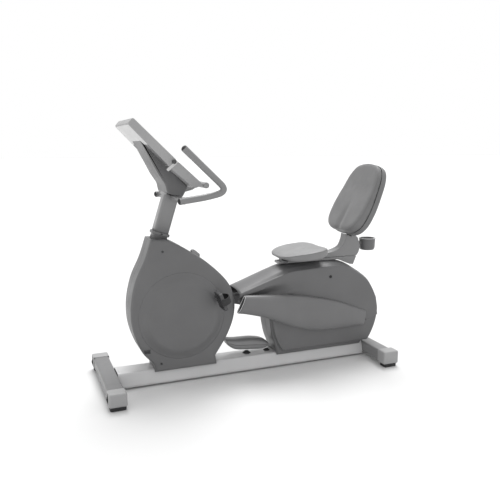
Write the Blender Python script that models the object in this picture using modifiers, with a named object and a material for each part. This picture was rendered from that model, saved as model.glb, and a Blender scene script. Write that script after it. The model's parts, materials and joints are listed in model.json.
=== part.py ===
"""Recumbent exercise bike: frame, drive, housings, console, handlebar, sliding seat with its backrest.

Metres, +Z up. The console end points to -X, the seat end to +X, and the rider's left is -Y.
Run it with: blender --background --python part.py
"""

import math

import bmesh
import bpy
from mathutils import Matrix, Vector

# ---------------------------------------------------------------- driving dimensions
GAP = 0.0005  # left between two pieces that touch
PANEL_WALL = 0.0035
TUBE_WALL = 0.0025

# The distances along X below are from a point between the two housings. This far forward of the
# middle of the whole bike, it is moved at the end.
CENTRE_SHIFT = 0.0183
FRONT_FOOT_X = -0.780
REAR_FOOT_X = 0.730
FOOT_PAD_HEIGHT = 0.018
CROSSBAR_DEPTH = 0.080
CROSSBAR_HEIGHT = 0.062
CROSSBAR_HALF_SPAN = 0.304
END_CAP_LENGTH = 0.070
END_CAP_WALL = 0.0035
CROSSBAR_BOTTOM = FOOT_PAD_HEIGHT + END_CAP_WALL
BEAM_TOP_WIDTH = 0.110
BEAM_BOTTOM_WIDTH = 0.156
BEAM_BOTTOM = 0.008
BEAM_TOP = 0.086

WHEEL_RADIUS = 0.024
WHEEL_WIDTH = 0.022
WHEEL_Y = CROSSBAR_HALF_SPAN - 0.038
WHEEL_CENTRE = Vector((FRONT_FOOT_X - CROSSBAR_DEPTH / 2 + 0.015, WHEEL_Y, 0.050))

FRONT_HALF_WIDTH = 0.078
REAR_HALF_WIDTH = 0.072
SHELL_ROUNDING = 0.014

CRANK_CENTRE = Vector((-0.404, 0.0, 0.360))
CRANK_LENGTH = 0.200
CRANK_ANGLE = math.radians(24)
CRANK_Y = FRONT_HALF_WIDTH + 0.0085
CRANK_THICKNESS = 0.010
DISC_RADIUS = 0.227
DISC_Y = FRONT_HALF_WIDTH + 0.0165
PEDAL_Y = FRONT_HALF_WIDTH + 0.080
PEDAL_LENGTH = 0.096
PEDAL_WIDTH = 0.092
PEDAL_TILT = math.radians(20)
AXLE_RADIUS = 0.0085

PULLEY_RADIUS = 0.100
PULLEY_Y = 0.036
SMALL_PULLEY_RADIUS = 0.020
FLYWHEEL_CENTRE = Vector((-0.345, 0.0, 0.560))
FLYWHEEL_RADIUS = 0.095
FLYWHEEL_Y = -0.043
UPRIGHT_HALF_WIDTH = 0.020

INLET_CENTRE = Vector((-0.592, -FRONT_HALF_WIDTH, 0.1910))

MAST_FOOT = Vector((-0.506, 0.0, 0.745))
MAST_TOP = Vector((-0.4345, 0.0, 0.972))
MAST_DEPTH = 0.078
MAST_WIDTH = 0.074

BAR_Y = 0.243
BAR_RADIUS = 0.016
BAR_FRONT_X = -0.452
CROSS_TUBE_RADIUS = 0.0145
CROSS_TUBE_CENTRE = Vector((-0.426, 0.0, 0.9635))

CONSOLE_HALF_WIDTH = 0.180
CONSOLE_BACK_WIDTH = 0.200
KEY_COUNT = 3
KEY_SPACING = 0.070

SHROUD_TOP = 0.580
SHROUD_HALF_WIDTH = 0.104

SEAT_CENTRE = Vector((0.292, 0.0, 0.6440))
SEAT_LENGTH = 0.280
SEAT_THICKNESS = 0.052
SEAT_WIDTH = 0.340
SEAT_PITCH = math.radians(4)
RAIL_HEIGHT = 0.014
RAIL_LENGTH = 0.420
RAIL_WIDTH = 0.060

BACKREST_TILT = math.radians(25)
BACKREST_CENTRE = Vector((0.672, 0.0, 0.914))
BACKREST_PAD = 0.036
BACKREST_SHELL = 0.030
BACKREST_THICKNESS = BACKREST_PAD + GAP + BACKREST_SHELL

LEVER_PIVOT = Vector((0.172, -0.040, 0.6020))

CUP_CENTRE = Vector((0.744, 0.0, 0.655))
CUP_RADIUS = 0.048
CUP_HEIGHT = 0.068
CUP_EAR_OFFSET = Vector((-0.055, 0.0, 0.010))

# name: (colour, roughness, metallic)
FINISHES = {
    "panel_plastic": ((0.30, 0.30, 0.30), 0.45, 0.0),
    "dark_plastic": ((0.07, 0.07, 0.07), 0.50, 0.0),
    "frame_paint": ((0.42, 0.42, 0.42), 0.38, 0.1),
    "steel": ((0.55, 0.55, 0.55), 0.30, 1.0),
    "cast_iron": ((0.12, 0.12, 0.12), 0.60, 0.8),
    "aluminium": ((0.45, 0.45, 0.45), 0.35, 0.9),
    "rubber": ((0.03, 0.03, 0.03), 0.80, 0.0),
    "upholstery": ((0.33, 0.33, 0.33), 0.55, 0.0),
    "display": ((0.05, 0.06, 0.07), 0.10, 0.0),
}


# ---------------------------------------------------------------- scene and materials
def empty_scene():
    for old in list(bpy.data.objects):
        bpy.data.objects.remove(old)


def new_collection(name):
    made = bpy.data.collections.new(name)
    bpy.context.scene.collection.children.link(made)
    return made


def make_materials():
    made = {}
    for name, (colour, roughness, metallic) in FINISHES.items():
        material = bpy.data.materials.new(name)
        material.use_nodes = True
        shader = material.node_tree.nodes["Principled BSDF"]
        shader.inputs["Base Color"].default_value = (*colour, 1.0)
        shader.inputs["Roughness"].default_value = roughness
        shader.inputs["Metallic"].default_value = metallic
        made[name] = material
    return made


empty_scene()
BIKE = new_collection("recumbent_bike")
CUTTERS = new_collection("cutters")
MATERIALS = make_materials()


# ---------------------------------------------------------------- shape helpers
def add_object(name, mesh, finish, location=(0, 0, 0), rotation=(0, 0, 0)):
    """A named piece in the bike's collection. A finish of None makes a cutter."""
    made = bpy.data.objects.new(name, mesh)
    made.location = location
    made.rotation_euler = rotation
    if finish is None:
        CUTTERS.objects.link(made)
        made.hide_render = True
        made.display_type = "WIRE"
        return made
    BIKE.objects.link(made)
    mesh.materials.clear()
    mesh.materials.append(MATERIALS[finish])
    return made


def add_rounding(piece, width, segments=2, angle=math.radians(40)):
    if width <= 0:
        return
    bevel = piece.modifiers.new("rounding", "BEVEL")
    bevel.width = width
    bevel.segments = segments
    bevel.limit_method = "ANGLE"
    bevel.angle_limit = angle


def shade(piece):
    piece.data.shade_smooth()
    piece.data.set_sharp_from_angle(angle=math.radians(35))


def box(name, size, centre, finish, rounding=0.0, rotation=(0, 0, 0), segments=2):
    body = bmesh.new()
    bmesh.ops.create_cube(body, size=1.0)
    bmesh.ops.scale(body, vec=size, verts=body.verts)
    mesh = bpy.data.meshes.new(name)
    body.to_mesh(mesh)
    body.free()
    piece = add_object(name, mesh, finish, centre, rotation)
    add_rounding(piece, rounding, segments)
    return piece


AXIS_ROTATION = {"X": (0, math.pi / 2, 0), "Y": (-math.pi / 2, 0, 0), "Z": (0, 0, 0)}


def cylinder(name, radius, length, centre, finish, axis="Y", sides=24, rounding=0.0):
    body = bmesh.new()
    bmesh.ops.create_cone(
        body, cap_ends=True, segments=sides, radius1=radius, radius2=radius, depth=length
    )
    mesh = bpy.data.meshes.new(name)
    body.to_mesh(mesh)
    body.free()
    piece = add_object(name, mesh, finish, centre, AXIS_ROTATION[axis])
    add_rounding(piece, rounding)
    shade(piece)
    return piece


def turned(name, profile, centre, finish, axis="Y", sides=32, ring=False):
    """Turns (radius, height) points, listed down the outer side, about an axis. A ring's profile is closed."""
    mesh = bpy.data.meshes.new(name)
    points = [(radius, 0.0, height) for radius, height in profile]
    edges = [(i, i + 1) for i in range(len(points) - 1)]
    if ring:
        edges.append((len(points) - 1, 0))
    mesh.from_pydata(points, edges, [])
    piece = add_object(name, mesh, finish, centre, AXIS_ROTATION[axis])
    screw = piece.modifiers.new("turning", "SCREW")
    screw.steps = sides
    screw.render_steps = sides
    screw.use_merge_vertices = True
    screw.merge_threshold = 0.00001
    screw.use_smooth_shade = True
    return piece


def smooth_line(points, steps=4, closed=False):
    """Points along a Catmull-Rom curve through the given ones."""
    points = [Vector(p) for p in points]
    count = len(points)
    spans = count if closed else count - 1
    line = []
    for i in range(spans):
        if closed:
            a, b, c, d = (points[(i + k - 1) % count] for k in range(4))
        else:
            b, c = points[i], points[i + 1]
            a = points[i - 1] if i else b * 2 - c
            d = points[i + 2] if i + 2 < count else c * 2 - b
        for step in range(steps):
            t = step / steps
            line.append(
                b
                + (c - a) * (t / 2)
                + (a * 2 - b * 5 + c * 4 - d) * (t * t / 2)
                + (b * 3 - a - c * 3 + d) * (t**3 / 2)
            )
    if not closed:
        line.append(points[-1])
    return line


def fillet(corners, radius, steps=4, closed=True):
    """The corners of a polygon or a route, each one rounded with an arc."""
    corners = [Vector(c) for c in corners]
    count = len(corners)
    line = []
    for i, corner in enumerate(corners):
        if not closed and i in (0, count - 1):
            line.append(corner)
            continue
        before = (corners[i - 1] - corner).normalized()
        after = (corners[(i + 1) % count] - corner).normalized()
        half = before.angle(after) / 2
        reach = radius / math.tan(half)
        centre = corner + (before + after).normalized() * (radius / math.sin(half))
        start = corner + before * reach - centre
        end = corner + after * reach - centre
        for step in range(steps + 1):
            share = step / steps
            total = start.angle(end)
            if total < 1e-6:
                line.append(centre + start)
                continue
            mix = start * math.sin((1 - share) * total) + end * math.sin(share * total)
            line.append(centre + mix / math.sin(total))
    return line


def rounded_rectangle(width, height, radius, steps=3):
    x, y = width / 2, height / 2
    return fillet([(x, -y), (x, y), (-x, y), (-x, -y)], radius, steps)


def mesh_from_curve(name, curve):
    """The curve's filled solid as a mesh with welded caps."""
    helper = bpy.data.objects.new(name + "_curve", curve)
    bpy.context.scene.collection.objects.link(helper)
    evaluated = helper.evaluated_get(bpy.context.evaluated_depsgraph_get())
    mesh = bpy.data.meshes.new_from_object(evaluated)
    mesh.name = name
    bpy.data.objects.remove(helper)
    body = bmesh.new()
    body.from_mesh(mesh)
    bmesh.ops.remove_doubles(body, verts=body.verts, dist=0.000005)
    bmesh.ops.recalc_face_normals(body, faces=body.faces)
    body.to_mesh(mesh)
    body.free()
    return mesh


def add_spline(curve, points, closed):
    spline = curve.splines.new("POLY")
    spline.points.add(len(points) - 1)
    for target, point in zip(spline.points, points):
        target.co = (*Vector(point).to_3d(), 1.0)
    spline.use_cyclic_u = closed


def extruded(name, outlines, thickness, centre, finish, rotation, rounding=0.0, segments=2):
    """A flat outline, with any holes as further outlines, given a thickness along its own Z."""
    curve = bpy.data.curves.new(name, "CURVE")
    curve.dimensions = "2D"
    curve.fill_mode = "BOTH"
    curve.extrude = thickness / 2
    for outline in outlines:
        add_spline(curve, outline, closed=True)
    piece = add_object(name, mesh_from_curve(name, curve), finish, centre, rotation)
    add_rounding(piece, rounding, segments)
    shade(piece)
    return piece


def side_plate(name, outline, thickness, y, finish, rounding=0.0, segments=2, holes=()):
    """An outline drawn in (x, z), as seen from the side, centred on the given y."""
    facing = (math.pi / 2, 0, 0)
    return extruded(
        name, [outline, *holes], thickness, (0, y, 0), finish, facing, rounding, segments
    )


def tube(name, route, radius, finish, resolution=3, wall=0.0):
    """A round bar along a route. With a wall it is a pipe, open at both ends."""
    curve = bpy.data.curves.new(name, "CURVE")
    curve.dimensions = "3D"
    curve.bevel_depth = radius
    curve.bevel_resolution = resolution
    curve.use_fill_caps = wall == 0
    add_spline(curve, route, closed=False)
    piece = add_object(name, mesh_from_curve(name, curve), finish)
    if wall:
        thicken(piece, wall)
    shade(piece)
    return piece


def thicken(piece, wall):
    skin = piece.modifiers.new("wall", "SOLIDIFY")
    skin.thickness = wall
    skin.offset = -1
    skin.use_even_offset = True
    return skin


def box_tube(name, width, height, length, wall, centre, finish, rotation, corner=0.010):
    """A rectangular tube whose width and height lie along its own X and Y."""
    outer = rounded_rectangle(width, height, corner)
    inner = rounded_rectangle(width - 2 * wall, height - 2 * wall, corner - wall)
    return extruded(name, [outer, inner], length, centre, finish, rotation)


def inset(outline, distance):
    """The same outline, each point moved inwards. The outline may run either way round."""
    count = len(outline)
    area = sum(
        outline[i - 1].x * outline[i].y - outline[i].x * outline[i - 1].y for i in range(count)
    )
    turn = math.copysign(1.0, area)
    line = []
    for i, point in enumerate(outline):
        run = (outline[(i + 1) % count] - outline[i - 1]).normalized()
        line.append(point + Vector((-run.y, run.x)) * (distance * turn))
    return line


def hollow(piece, outline, width, open_below):
    """Cuts a side plate down to a tube wall, open at its foot."""
    space = [Vector(p) for p in inset([Vector(q) for q in outline], TUBE_WALL)]
    for point in space:
        if point.y < open_below + 0.012:
            point.y = open_below - 0.010
    cutter = side_plate(piece.name + "_hollow", space, width - 2 * TUBE_WALL, 0, None)
    cut(piece, cutter)


def cut(piece, *cutters):
    for cutter in cutters:
        boolean = piece.modifiers.new("cut", "BOOLEAN")
        boolean.operation = "DIFFERENCE"
        boolean.solver = "EXACT"
        boolean.object = cutter


def join(piece, *others):
    for other in others:
        boolean = piece.modifiers.new("join", "BOOLEAN")
        boolean.operation = "UNION"
        boolean.solver = "EXACT"
        boolean.object = other


def loft(name, rings, finish):
    """A closed solid through rings that all have the same number of points."""
    body = bmesh.new()
    rows = [[body.verts.new(point) for point in ring] for ring in rings]
    count = len(rows[0])
    for first, second in zip(rows, rows[1:]):
        for i in range(count):
            j = (i + 1) % count
            body.faces.new((first[i], first[j], second[j], second[i]))
    body.faces.new(rows[0])
    body.faces.new(rows[-1])
    bmesh.ops.recalc_face_normals(body, faces=body.faces)
    mesh = bpy.data.meshes.new(name)
    body.to_mesh(mesh)
    body.free()
    piece = add_object(name, mesh, finish)
    shade(piece)
    return piece


def cover_half(name, outline, half_width, side, finish):
    """Half a housing: a moulded dish, open at the middle plane, with a rounded outer edge."""
    body = bmesh.new()
    inner = [body.verts.new((p.x, side * GAP / 2, p.y)) for p in outline]
    outer = [body.verts.new((p.x, side * half_width, p.y)) for p in outline]
    count = len(outline)
    for i in range(count):
        j = (i + 1) % count
        body.faces.new((inner[i], inner[j], outer[j], outer[i]))
    body.faces.new(outer)
    bmesh.ops.recalc_face_normals(body, faces=body.faces)
    if sum(face.normal.y * side for face in body.faces if len(face.verts) > 4) < 0:
        bmesh.ops.reverse_faces(body, faces=body.faces)
    mesh = bpy.data.meshes.new(name)
    body.to_mesh(mesh)
    body.free()
    piece = add_object(name, mesh, finish)
    add_rounding(piece, SHELL_ROUNDING, segments=3, angle=math.radians(70))
    thicken(piece, PANEL_WALL)
    shade(piece)
    return piece


def empty(name, place, parent=None):
    made = bpy.data.objects.new(name, None)
    BIKE.objects.link(made)
    made.location = place
    made.empty_display_size = 0.05
    if parent:
        made.parent = parent
    return made


def hang(parent, *pieces):
    """Parents pieces to an empty and keeps each one where it is."""
    bpy.context.view_layer.update()
    for piece in pieces:
        place = piece.matrix_world.copy()
        piece.parent = parent
        piece.matrix_parent_inverse = parent.matrix_world.inverted()
        piece.matrix_world = place


SIDES = (("left", -1), ("right", 1))


# ---------------------------------------------------------------- floor frame
def beam_section(extra=0.0):
    """The beam is wider at its foot than at its top."""
    top = BEAM_TOP_WIDTH / 2 + extra
    low = BEAM_BOTTOM_WIDTH / 2 + extra
    half = (BEAM_TOP - BEAM_BOTTOM) / 2 + extra
    corner = 0.012 + extra
    return fillet([(low, -half), (top, half), (-top, half), (-low, -half)], corner, steps=3)


def along_beam(name, outlines, front, rear, finish):
    """A beam section swept from one x to another. Its outline's X lies along the row's Y."""
    centre = ((front + rear) / 2, 0, (BEAM_BOTTOM + BEAM_TOP) / 2)
    return extruded(
        name, outlines, rear - front, centre, finish, (math.pi / 2, 0, math.pi / 2)
    )


def main_beam():
    front = FRONT_FOOT_X + CROSSBAR_DEPTH / 2 + GAP
    rear = REAR_FOOT_X - CROSSBAR_DEPTH / 2 - GAP
    outlines = [beam_section(), beam_section(-TUBE_WALL)]
    return along_beam("main_beam", outlines, front, rear, "frame_paint")


def beam_saddle(name):
    """The space that a housing leaves around the beam."""
    return along_beam(name, [beam_section(0.001)], -0.70, 0.71, None)


def crossbar(name, x):
    length = 2 * (CROSSBAR_HALF_SPAN - 0.012)
    centre = (x, 0, CROSSBAR_BOTTOM + CROSSBAR_HEIGHT / 2)
    return box_tube(
        name, CROSSBAR_DEPTH, CROSSBAR_HEIGHT, length, TUBE_WALL, centre, "frame_paint",
        (math.pi / 2, 0, 0),
    )


def end_cap(name, x, side, sleeve):
    """A moulded cap pushed over the end of a crossbar, hollow where the tube goes in."""
    wall = END_CAP_WALL + sleeve
    size = (CROSSBAR_DEPTH + 2 * wall, END_CAP_LENGTH, CROSSBAR_HEIGHT + END_CAP_WALL + wall)
    y = side * (CROSSBAR_HALF_SPAN - END_CAP_LENGTH / 2)
    z = FOOT_PAD_HEIGHT + size[2] / 2
    cap = box(name, size, (x, y, z), "dark_plastic", rounding=0.009, segments=3)
    pocket = box(
        name + "_pocket",
        (CROSSBAR_DEPTH + 2 * GAP, END_CAP_LENGTH, CROSSBAR_HEIGHT + 2 * GAP),
        (x, y - side * 0.0115, CROSSBAR_BOTTOM + CROSSBAR_HEIGHT / 2),
        None,
    )
    cut(cap, pocket)
    return cap


def foot_pad(name, x, side):
    y = side * (CROSSBAR_HALF_SPAN - 0.030)
    size = (CROSSBAR_DEPTH - 0.004, 0.052, FOOT_PAD_HEIGHT - GAP)
    return box(name, size, (x, y, size[2] / 2), "rubber", rounding=0.004)


def wheel_slot(side):
    return box(
        "wheel_slot",
        (2 * WHEEL_RADIUS + 0.008, WHEEL_WIDTH + 0.006, 2 * WHEEL_RADIUS + 0.010),
        (WHEEL_CENTRE.x + 0.002, side * WHEEL_Y, WHEEL_CENTRE.z + 0.001),
        None,
    )


def transport_wheel(name, side):
    half = WHEEL_WIDTH / 2
    pin = half + 0.010
    profile = [
        (0, pin), (0.004, pin), (0.004, half), (WHEEL_RADIUS - 0.004, half),
        (WHEEL_RADIUS, half - 0.004), (WHEEL_RADIUS, 0.004 - half),
        (WHEEL_RADIUS - 0.004, -half), (0.004, -half), (0.004, -pin), (0, -pin),
    ]
    centre = (WHEEL_CENTRE.x, side * WHEEL_Y, WHEEL_CENTRE.z)
    return turned(name, profile, centre, "rubber", sides=28)


def floor_frame():
    main_beam()
    front = crossbar("front_crossbar", FRONT_FOOT_X)
    crossbar("rear_crossbar", REAR_FOOT_X)
    for hand, side in SIDES:
        front_cap = end_cap("front_end_cap_" + hand, FRONT_FOOT_X, side, 0.0)
        slot = wheel_slot(side)
        pin = cylinder(
            "wheel_pin_hole", 0.0045, WHEEL_WIDTH + 0.024,
            (WHEEL_CENTRE.x, side * WHEEL_Y, WHEEL_CENTRE.z), None, sides=12,
        )
        cut(front_cap, slot, pin)
        cut(front, slot)
        end_cap("rear_end_cap_" + hand, REAR_FOOT_X, side, 0.004)
        foot_pad("front_foot_" + hand, FRONT_FOOT_X, side)
        foot_pad("rear_foot_" + hand, REAR_FOOT_X, side)
        transport_wheel("transport_wheel_" + hand, side)


# ---------------------------------------------------------------- inner frame
def front_upright():
    """The bent box post inside the front housing, from the beam to the foot of the mast."""
    outline = fillet(
        [
            (-0.520, BEAM_TOP + GAP), (-0.450, BEAM_TOP + GAP), (-0.495, 0.560),
            (-0.470, 0.7225), (-0.542, 0.7225), (-0.562, 0.560),
        ],
        0.012,
    )
    post = side_plate("front_upright", outline, 2 * UPRIGHT_HALF_WIDTH, 0, "frame_paint")
    hollow(post, outline, 2 * UPRIGHT_HALF_WIDTH, BEAM_TOP)
    ear = side_plate(
        "flywheel_ear",
        fillet([(-0.520, 0.520), (-0.335, 0.535), (-0.322, 0.560), (-0.335, 0.585),
                (-0.520, 0.600)], 0.008),
        0.024, 0.0, None,
    )
    hole = cylinder("flywheel_hole", AXLE_RADIUS + GAP, 0.10, FLYWHEEL_CENTRE, None, sides=20)
    join(post, ear)
    cut(post, hole)
    return post


def seat_post():
    """The post inside the rear housing, with the seat's rail welded across its top."""
    low = SHROUD_TOP + GAP
    outline = fillet(
        [
            (0.270, BEAM_TOP + GAP), (0.350, BEAM_TOP + GAP), (0.345, 0.500),
            (0.500, low + 0.004), (0.200, low + 0.004), (0.275, 0.500),
        ],
        0.006,
    )
    post = side_plate("seat_post", outline, 0.044, 0, "frame_paint")
    hollow(post, outline, 0.044, BEAM_TOP)
    centre = (0.370, 0, low + RAIL_HEIGHT / 2)
    rail = box("seat_rail", (RAIL_LENGTH, RAIL_WIDTH, RAIL_HEIGHT), centre, None, 0.002)
    tail = fillet(
        [(0.520, low + 0.002), (0.520, low + RAIL_HEIGHT), (0.655, low + RAIL_HEIGHT),
         (0.634, 0.545), (0.612, 0.548), (0.560, 0.572)],
        0.004,
    )
    join(post, rail, side_plate("rail_tail", tail, RAIL_WIDTH - 0.002, 0, None))
    return post


# ---------------------------------------------------------------- drive
def bottom_bracket():
    """The cartridge that the axle turns in, on an arm from the upright. Its bearings fill its ends."""
    half = 0.034
    bearing = 0.010
    fit = AXLE_RADIUS + GAP
    profile = [
        (0.024, half), (0.024, -half), (fit, -half), (fit, bearing - half),
        (0.0185, bearing - half), (0.0185, half - bearing), (fit, half - bearing), (fit, half),
    ]
    shell = turned("bottom_bracket", profile, CRANK_CENTRE, "steel", ring=True, sides=24)
    outline = fillet([(-0.4685, 0.290), (-0.409, 0.345), (-0.399, 0.375), (-0.4808, 0.420)], 0.008)
    arm = side_plate("bracket_arm", outline, 0.012, 0, None)
    bore = cylinder("bracket_bore", 0.0185, 0.040, CRANK_CENTRE, None, sides=24)
    cut(arm, bore)
    join(shell, arm)
    return shell


def crank_axle():
    length = 2 * (CRANK_Y - CRANK_THICKNESS / 2 - GAP)
    return cylinder("crank_axle", AXLE_RADIUS, length, CRANK_CENTRE, "steel", sides=20)


def pulley(name, radius, half, bore, centre, finish):
    """A flat belt pulley with low rims, turned as one ring."""
    rim = radius + 0.004
    profile = [
        (rim, half), (rim, half - 0.0015), (radius, half - 0.0015), (radius, 0.0015 - half),
        (rim, 0.0015 - half), (rim, -half), (bore, -half), (bore, half),
    ]
    return turned(name, profile, centre, finish, ring=True, sides=40)


def drive_pulley():
    centre = CRANK_CENTRE + Vector((0, PULLEY_Y + 0.012, 0))
    return pulley("drive_pulley", PULLEY_RADIUS, 0.007, AXLE_RADIUS + GAP, centre, "dark_plastic")


def drive_belt():
    """A flat belt around both pulleys: two arcs and the straight runs between them."""
    start = Vector((CRANK_CENTRE.x, CRANK_CENTRE.z))
    end = Vector((FLYWHEEL_CENTRE.x, FLYWHEEL_CENTRE.z))
    lean = math.asin((PULLEY_RADIUS - SMALL_PULLEY_RADIUS) / (end - start).length)
    heading = math.atan2(end.y - start.y, end.x - start.x)

    def loop(extra):
        big = PULLEY_RADIUS + extra
        small = SMALL_PULLEY_RADIUS + extra
        line = []
        for centre, radius, first, last, count in (
            (start, big, math.pi / 2 - lean, 3 * math.pi / 2 + lean, 22),
            (end, small, -math.pi / 2 + lean, math.pi / 2 - lean, 8),
        ):
            for step in range(count + 1):
                angle = heading + first + (last - first) * step / count
                line.append(centre + Vector((math.cos(angle), math.sin(angle))) * radius)
        return line

    return side_plate(
        "drive_belt", loop(0.0030), 0.010, PULLEY_Y + 0.012, "rubber", holes=[loop(0.0012)]
    )


def flywheel():
    """A heavy-rimmed wheel. Its axle and small pulley turn with it."""
    radius = FLYWHEEL_RADIUS
    bore = AXLE_RADIUS + GAP
    profile = [
        (radius, 0.014), (radius, -0.014), (radius - 0.034, -0.014), (radius - 0.038, -0.006),
        (bore, -0.006), (bore, 0.006), (radius - 0.038, 0.006), (radius - 0.034, 0.014),
    ]
    centre = FLYWHEEL_CENTRE + Vector((0, FLYWHEEL_Y, 0))
    return turned("flywheel", profile, centre, "cast_iron", ring=True, sides=40)


def flywheel_axle():
    """The flywheel's shaft, turned in one piece with the small belt pulley."""
    left = -0.062
    right = 0.062
    pulley_y = PULLEY_Y + 0.012
    half = 0.007
    small = SMALL_PULLEY_RADIUS
    profile = [
        (0, right), (AXLE_RADIUS, right), (AXLE_RADIUS, pulley_y + half),
        (small + 0.003, pulley_y + half), (small + 0.003, pulley_y + half - 0.0015),
        (small, pulley_y + half - 0.0015), (small, pulley_y - half + 0.0015),
        (small + 0.003, pulley_y - half + 0.0015), (small + 0.003, pulley_y - half),
        (AXLE_RADIUS, pulley_y - half), (AXLE_RADIUS, left), (0, left),
    ]
    return turned("flywheel_axle", profile, FLYWHEEL_CENTRE, "steel", sides=20)


def brake_magnet():
    """A curved magnet carrier close outside the flywheel's rim."""
    inner = FLYWHEEL_RADIUS + 0.004
    outer = inner + 0.010
    centre = Vector((FLYWHEEL_CENTRE.x, FLYWHEEL_CENTRE.z))
    angles = [math.radians(-60 + 12 * step) for step in range(8)]
    outline = [centre + Vector((math.cos(a), math.sin(a))) * outer for a in angles]
    outline += [centre + Vector((math.cos(a), math.sin(a))) * inner for a in reversed(angles)]
    return side_plate("brake_magnet", outline, 0.024, FLYWHEEL_Y, "steel")


def crank_arm(name, side):
    """A slim arm from the axle to the pedal's thread, turned half round on the other side."""
    angle = CRANK_ANGLE + (0 if side < 0 else math.pi)
    outline = []
    for centre_x, radius, first in ((0.0, 0.019, 90), (CRANK_LENGTH, 0.013, -90)):
        for step in range(7):
            turn = math.radians(first + 30 * step)
            outline.append(Vector((centre_x + radius * math.cos(turn), radius * math.sin(turn))))
    place = CRANK_CENTRE + Vector((0, side * CRANK_Y, 0))
    return extruded(
        name, [outline], CRANK_THICKNESS, place, "aluminium", (math.pi / 2, -angle, 0), 0.0015, 1
    )


def crank_disc(name, side):
    """The round dished cover that hides the crank and turns with it."""
    wall = 0.002
    rim = FRONT_HALF_WIDTH + 0.002
    face = DISC_Y
    edge = DISC_RADIUS
    profile = [
        (0, face), (edge - 0.016, face), (edge - 0.004, face - 0.004), (edge, face - 0.009),
        (edge, rim), (edge - wall, rim), (edge - wall, face - 0.010),
        (edge - 0.005, face - 0.005 - wall / 2), (edge - 0.016, face - wall), (0, face - wall),
    ]
    disc = turned(name, profile, CRANK_CENTRE, "panel_plastic", sides=48)
    if side < 0:
        disc.rotation_euler = (math.pi / 2, 0, 0)
    centre = pedal_centre(side)
    cut(disc, cylinder(name + "_hole", 0.0080, 0.30, centre, None, sides=16))
    return disc


def pedal_centre(side):
    turn = 0 if side < 0 else math.pi
    angle = CRANK_ANGLE + turn
    offset = Vector((math.cos(angle), 0, math.sin(angle))) * CRANK_LENGTH
    return CRANK_CENTRE + offset + Vector((0, side * PEDAL_Y, 0))


def pedal(name, side):
    """A platform pedal with its spindle. The tread faces the rider, tilted up a little."""
    centre = pedal_centre(side)
    tilt = (0, math.pi / 2 - PEDAL_TILT, 0)
    body = box(name, (PEDAL_LENGTH, PEDAL_WIDTH, 0.022), centre, "dark_plastic", 0.007, tilt)
    start = CRANK_Y + CRANK_THICKNESS / 2 + GAP
    length = PEDAL_Y - start - 0.030
    spindle_centre = Vector((centre.x, side * (start + length / 2), centre.z))
    spindle = cylinder(name + "_spindle", 0.007, length, spindle_centre, None, sides=16)
    join(body, spindle)
    return body


def pedal_strap(name, side):
    """A flat rubber strap arched over the tread."""
    half = PEDAL_WIDTH / 2 + 0.004
    height = 0.048
    outer = [Vector((-half, -0.010))]
    steps = 10
    for step in range(steps + 1):
        angle = math.pi * (1 - step / steps)
        outer.append(Vector((half * math.cos(angle), 0.012 + (height - 0.012) * math.sin(angle))))
    outer.append(Vector((half, -0.010)))
    wall = 0.0030
    inner = [Vector((p.x * (half - wall) / half, p.y * (height - wall) / height)) for p in outer]
    outline = outer + list(reversed(inner))
    strap = extruded(
        name, [outline], 0.034, pedal_centre(side), "rubber", (math.pi / 2, 0, 0)
    )
    # The arch is drawn across the pedal, so it is turned to stand on the tread.
    strap.rotation_mode = "QUATERNION"
    across = Vector((0, 1, 0))
    up = Vector((math.cos(PEDAL_TILT), 0, math.sin(PEDAL_TILT)))
    along = across.cross(up)
    strap.rotation_quaternion = matrix_from_axes(across, up, along).to_quaternion()
    cut(strap, cylinder(name + "_hole", 0.0080, 0.30, pedal_centre(side), None, sides=16))
    return strap


def matrix_from_axes(x, y, z):
    return Matrix((x, y, z)).transposed()


def drive():
    bottom_bracket()
    crank_spin = empty("crank_spin", CRANK_CENTRE)
    hang(crank_spin, crank_axle(), drive_pulley())
    for hand, side in SIDES:
        hang(crank_spin, crank_arm("crank_" + hand, side), crank_disc("crank_disc_" + hand, side))
        pedal_spin = empty("pedal_spin_" + hand, pedal_centre(side))
        hang(
            pedal_spin,
            pedal("pedal_" + hand, side),
            pedal_strap("pedal_strap_" + hand, side),
        )
        hang(crank_spin, pedal_spin)
    drive_belt()
    flywheel_spin = empty("flywheel_spin", FLYWHEEL_CENTRE)
    hang(flywheel_spin, flywheel(), flywheel_axle())
    brake_magnet()


# ---------------------------------------------------------------- housings
def mast_lean():
    run = MAST_TOP - MAST_FOOT
    return math.atan2(run.x, run.z)


def front_outline():
    """The drop-shaped side of the front housing, with a flat foot on the beam."""
    foot = BEAM_TOP - 0.012
    front_edge = smooth_line(
        [(-0.556, 0.763), (-0.590, 0.665), (-0.640, 0.555), (-0.666, 0.430), (-0.660, 0.310),
         (-0.618, 0.192), (-0.562, 0.122)],
        steps=3,
    )
    rear_edge = smooth_line(
        [(-0.226, 0.122), (-0.160, 0.225), (-0.120, 0.330), (-0.119, 0.430), (-0.160, 0.525),
         (-0.270, 0.633), (-0.390, 0.714), (-0.470, 0.758)],
        steps=3,
    )
    base = [Vector((-0.553, 0.108)), Vector((-0.553, foot)), Vector((-0.218, foot))]
    return front_edge + base + rear_edge


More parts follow.
